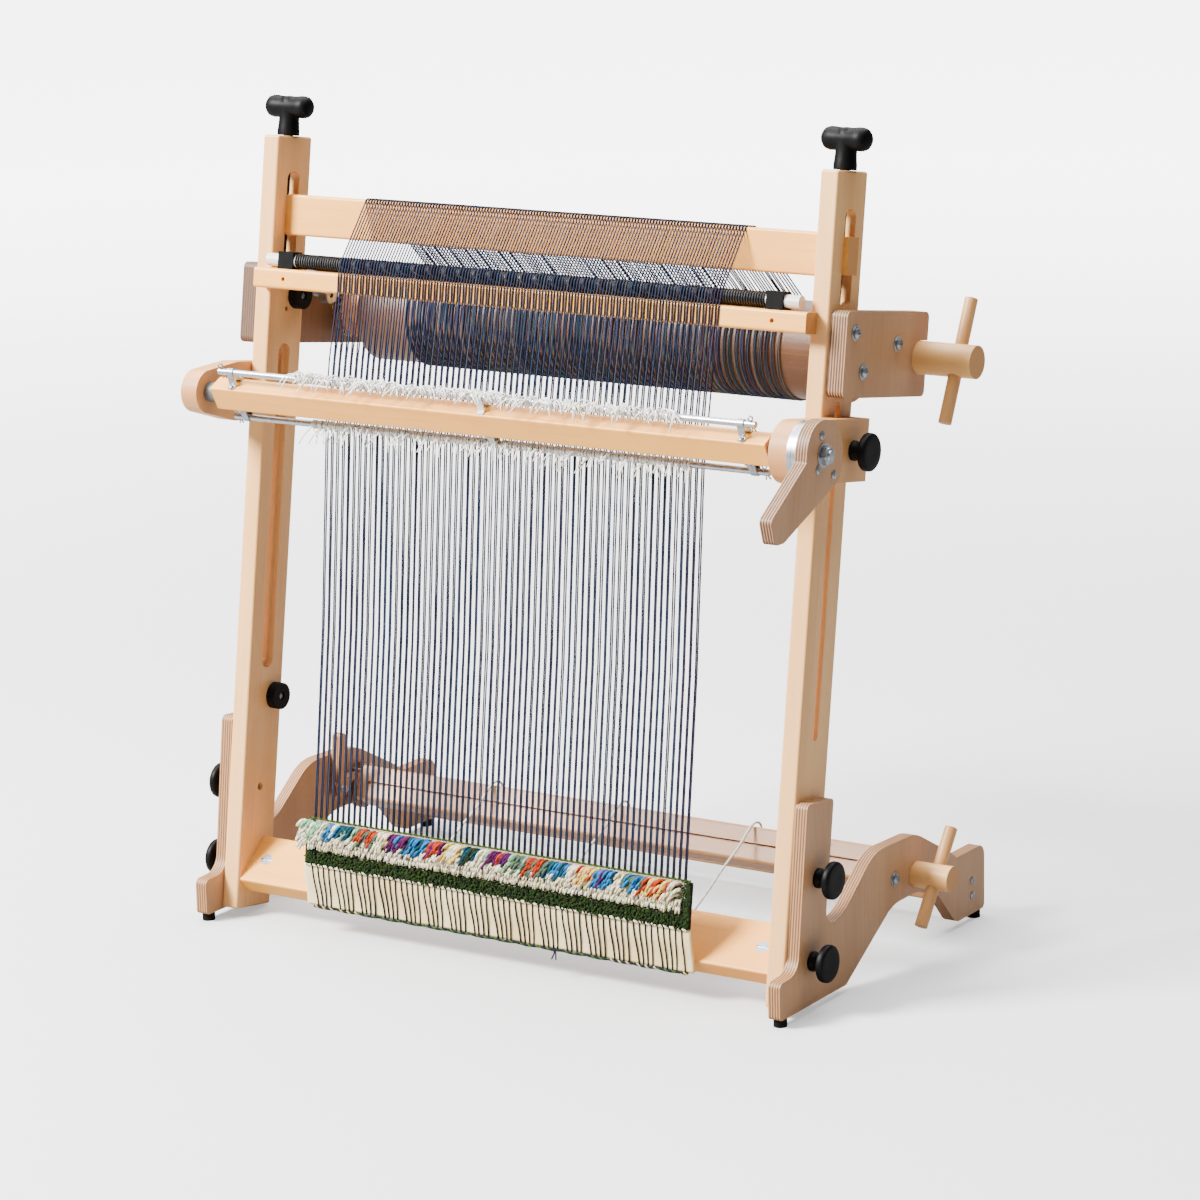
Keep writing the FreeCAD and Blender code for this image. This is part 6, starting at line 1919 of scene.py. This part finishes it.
@dataclass
class ClothStrip:
    """The cream strip over the front beam, the warp ends laid on it, and the knotted row at its foot."""

    left: float = -220.0
    right: float = 229.0
    line: Sequence[Pair] = (
        (-10.4, 62.2),
        (-9.8, 55.5),
        (-7.9, 48.0),
        (-5.2, 40.5),
        (-2.4, 33.0),
        (-0.9, 27.5),
        (0.2, 22.8),
        (1.2, 18.8),
    )
    stick: Pair = (105.0, 42.0)
    foot: Pair = (2.4, 28.2)
    heel: Pair = (14.6, 16.6)
    group: int = 4
    drawn_in: float = 0.76
    lift: float = 1.15
    end_radius: float = 0.74
    twist: float = 9.0
    twist_radius: float = 0.72
    twist_height: float = 18.2
    tail_radius: float = 0.8
    bundle_radius: float = 0.55
    wrap_radius: float = 5.4
    sag: float = 2.3
    greys: Sequence[Colour] = (
        (0.012, 0.014, 0.026),
        (0.018, 0.018, 0.026),
        (0.010, 0.014, 0.028),
        (0.016, 0.013, 0.022),
    )

    def section(self, count: int) -> Points:
        """Return evenly spaced points down the strip."""
        run = run_along(self.line)
        return columns(*(np.interp(np.linspace(0.0, run[-1], count), run, part) for part in zip(*self.line)))

    def strip(self) -> None:
        """Make the cloth."""
        xs = np.linspace(self.left - 1.0, self.right + 1.0, 150)
        section = self.section(18)
        depths, heights = section[:, 0, None], section[:, 1, None]
        share = np.linspace(0.0, 1.0, len(section))[:, None]
        ripple = 0.35 * np.sin(xs * 0.19 + 2.0 * share) * share + 0.25 * np.sin(xs * 0.047 + 1.3)
        shifted = xs + 0.5 * np.sin(3.0 * share)
        grid = columns(shifted, depths + ripple * 0.6, heights + 0.2 * np.sin(xs * 0.08) * share)
        work = MeshWork()
        work.slab(SPACE.leaning(grid)[::-1], 1.0)
        work.fit("cream_cloth_strip", Finish.CLOTH, "frame", "cream_card", "cream_strip")
        float(run_along(self.line)[-1]) * MM

    def knots(self, work: MeshWork, left: float, right: float, phase: float) -> None:
        """Add the strands that are twisted about one group of warp ends.

        Args:
            work: Where they go.
            left: Where they start.
            right: Where they stop.
            phase: Where their twist starts.
        """
        xs = np.linspace(left, right, 26)
        drop = 0.9 * np.sin((xs - left) / (right - left) * math.pi)
        accent = work.chance.choice((Wool.BUTTER, Wool.LEAF, Wool.SHADE, Wool.LEAF)).value
        for number, dye in enumerate((self.greys[0], Wool.PINE.value, self.greys[1], accent)):
            angle = xs * (TURN / self.twist) + number * math.pi / 2 + phase
            heights = self.twist_height - drop + 0.8 * np.sin(angle)
            work.strand(columns(xs, 0.2 + 0.7 * np.cos(angle), heights), self.twist_radius, 6, dye=dye)

    def ends(self) -> None:
        """Make the doubled warp ends that lie on the strip and the row of knots below them."""
        work = MeshWork(61)
        chance = work.chance
        pairs = PLAN.pairs()
        depths, heights = self.section(9).T
        share = np.linspace(0.0, 1.0, 9)
        for start in range(0, len(pairs), self.group):
            members = pairs[start : start + self.group]
            middle = members.mean()
            for x in members:
                foot = middle + (x - middle) * self.drawn_in + chance.uniform(-0.5, 0.5)
                line = columns(x + (foot - x) * share**1.3, depths - self.lift, heights)
                work.strand(line, self.end_radius, 6, side=ACROSS, dye=chance.choice(self.greys))
            self.knots(work, members[0] - 3.2, members[-1] + 3.2, start)
        for shift in (-0.6, 1.1):
            tail = [(74.0 + shift, -0.8, 19.0), (75.5 + shift, -2.0, 14.5), (74.2 + 3 * shift, -2.4, 8.5)]
            work.strand(tail, self.tail_radius, 6, dye=self.greys[0])
        work.fit("warp_ends", Finish.WARP, "frame", "warp_yarn")

    def under(self) -> None:
        """Make the bundles that run under the front beam to the end stick."""
        work = MeshWork(62)
        stick = SPACE.level((0.0, *self.stick))
        foot, heel = (SPACE.leaning((0.0, *point)) for point in (self.foot, self.heel))
        sag = -self.sag * MM * UPWARD
        turns = np.radians(np.linspace(265.0, -5.0, 8))
        wrap = stick + MM * columns(0.0, *arc((0.0, 0.0), self.wrap_radius, turns))
        for middle in PLAN.pairs():
            line = np.vstack([foot, heel, (heel + stick) / 2 + sag, wrap])
            line[:, 0] = (float(middle) + work.chance.uniform(-0.4, 0.4) - SPACE.side) * MM
            work.tube(line, self.bundle_radius * MM, 5, dye=PLAN.dye(work.chance))
        work.fit("lower_warp_bundles", Finish.WARP, "frame", "warp_yarn", "lower_warp")

    def build(self) -> None:
        """Make the strip, the ends on it and the bundles below it."""
        self.strip()
        self.ends()
        self.under()


# The loom


DRESSED = {
    Finish.POST: "left_upright right_upright",
    Finish.RAIL: "front_beam top_beam spring_bar shed_bar",
    Finish.BRACKET: "left_shed_bracket right_shed_bracket",
    Finish.LEVEL_RAIL: "cloth_beam rear_crossbar",
    Finish.LOG: "warp_beam",
    Finish.DOWEL: "warp_beam_axles cloth_beam_axles end_stick",
    Finish.PEG: "warp_beam_peg cloth_beam_peg",
    Finish.FOOT_PLY: "left_foot right_foot cloth_ratchet cloth_pawl",
    Finish.PLY: "right_beam_plate shed_lever warp_ratchet",
    # The left beam plate takes the darker plywood as painted shade behind the left upright.
    Finish.SHADED_PLY: "left_beam_plate",
    Finish.RUBBER: "rubber_feet bumpers",
    Finish.GRIP: "spring_clips",
    Finish.TUBE: "spring_rod",
    # The white shed collars are drawn dark grey as painted shade at the shedding bar's ends.
    Finish.SLEEVE: "shed_collars",
    Finish.ZINC: "barrel_nuts tension_nuts bracket_nuts warp_pawl",
    Finish.STEEL: "heddle_rods detent_plate detent_ring",
}


class Loom:
    """The whole loom: its wood and metal as the model has them, and everything made around them."""

    def dress(self) -> None:
        """Give the model's own nodes their finishes."""
        for finish, names in DRESSED.items():
            for name in names.split():
                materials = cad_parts[name].data.materials
                materials.clear()
                materials.append(finish.material())
        log.info("the model's own nodes are dressed")

    def build(self) -> None:
        """Make the loom."""
        Studio().build()
        ApronCords().build()
        self.dress()
        threads = WarpThreads()
        threads.build()
        WoundWarp().build()
        WarpSpring().build()
        Heddles().build(threads)
        ShedFittings().build()
        for side, word, turn in ((LEFT, "left", -3.0), (RIGHT, "right", -12.0)):
            for place, face, height, stud in (
                ("lower_foot", 340.1, 44.5, 56.4),
                ("upper_foot", 340.1, 123.0, 28.0),
                ("bracket", 346.45, 522.0, 37.4),
            ):
                HandKnob(f"{word}_{place}_knob", side, face, height, stud).build()
            TensionHandle(f"{word}_t_handle", side, math.radians(turn)).build()
        for part in (Fasteners(), WovenSample(), ClothStrip()):
            part.build()


def main() -> None:
    """Make every finish, then build the loom."""
    logging.basicConfig(level=logging.INFO, format="%(name)s: %(message)s")
    for finish in Finish:
        finish.material()
    Loom().build()


if __name__ == "__main__":
    main()
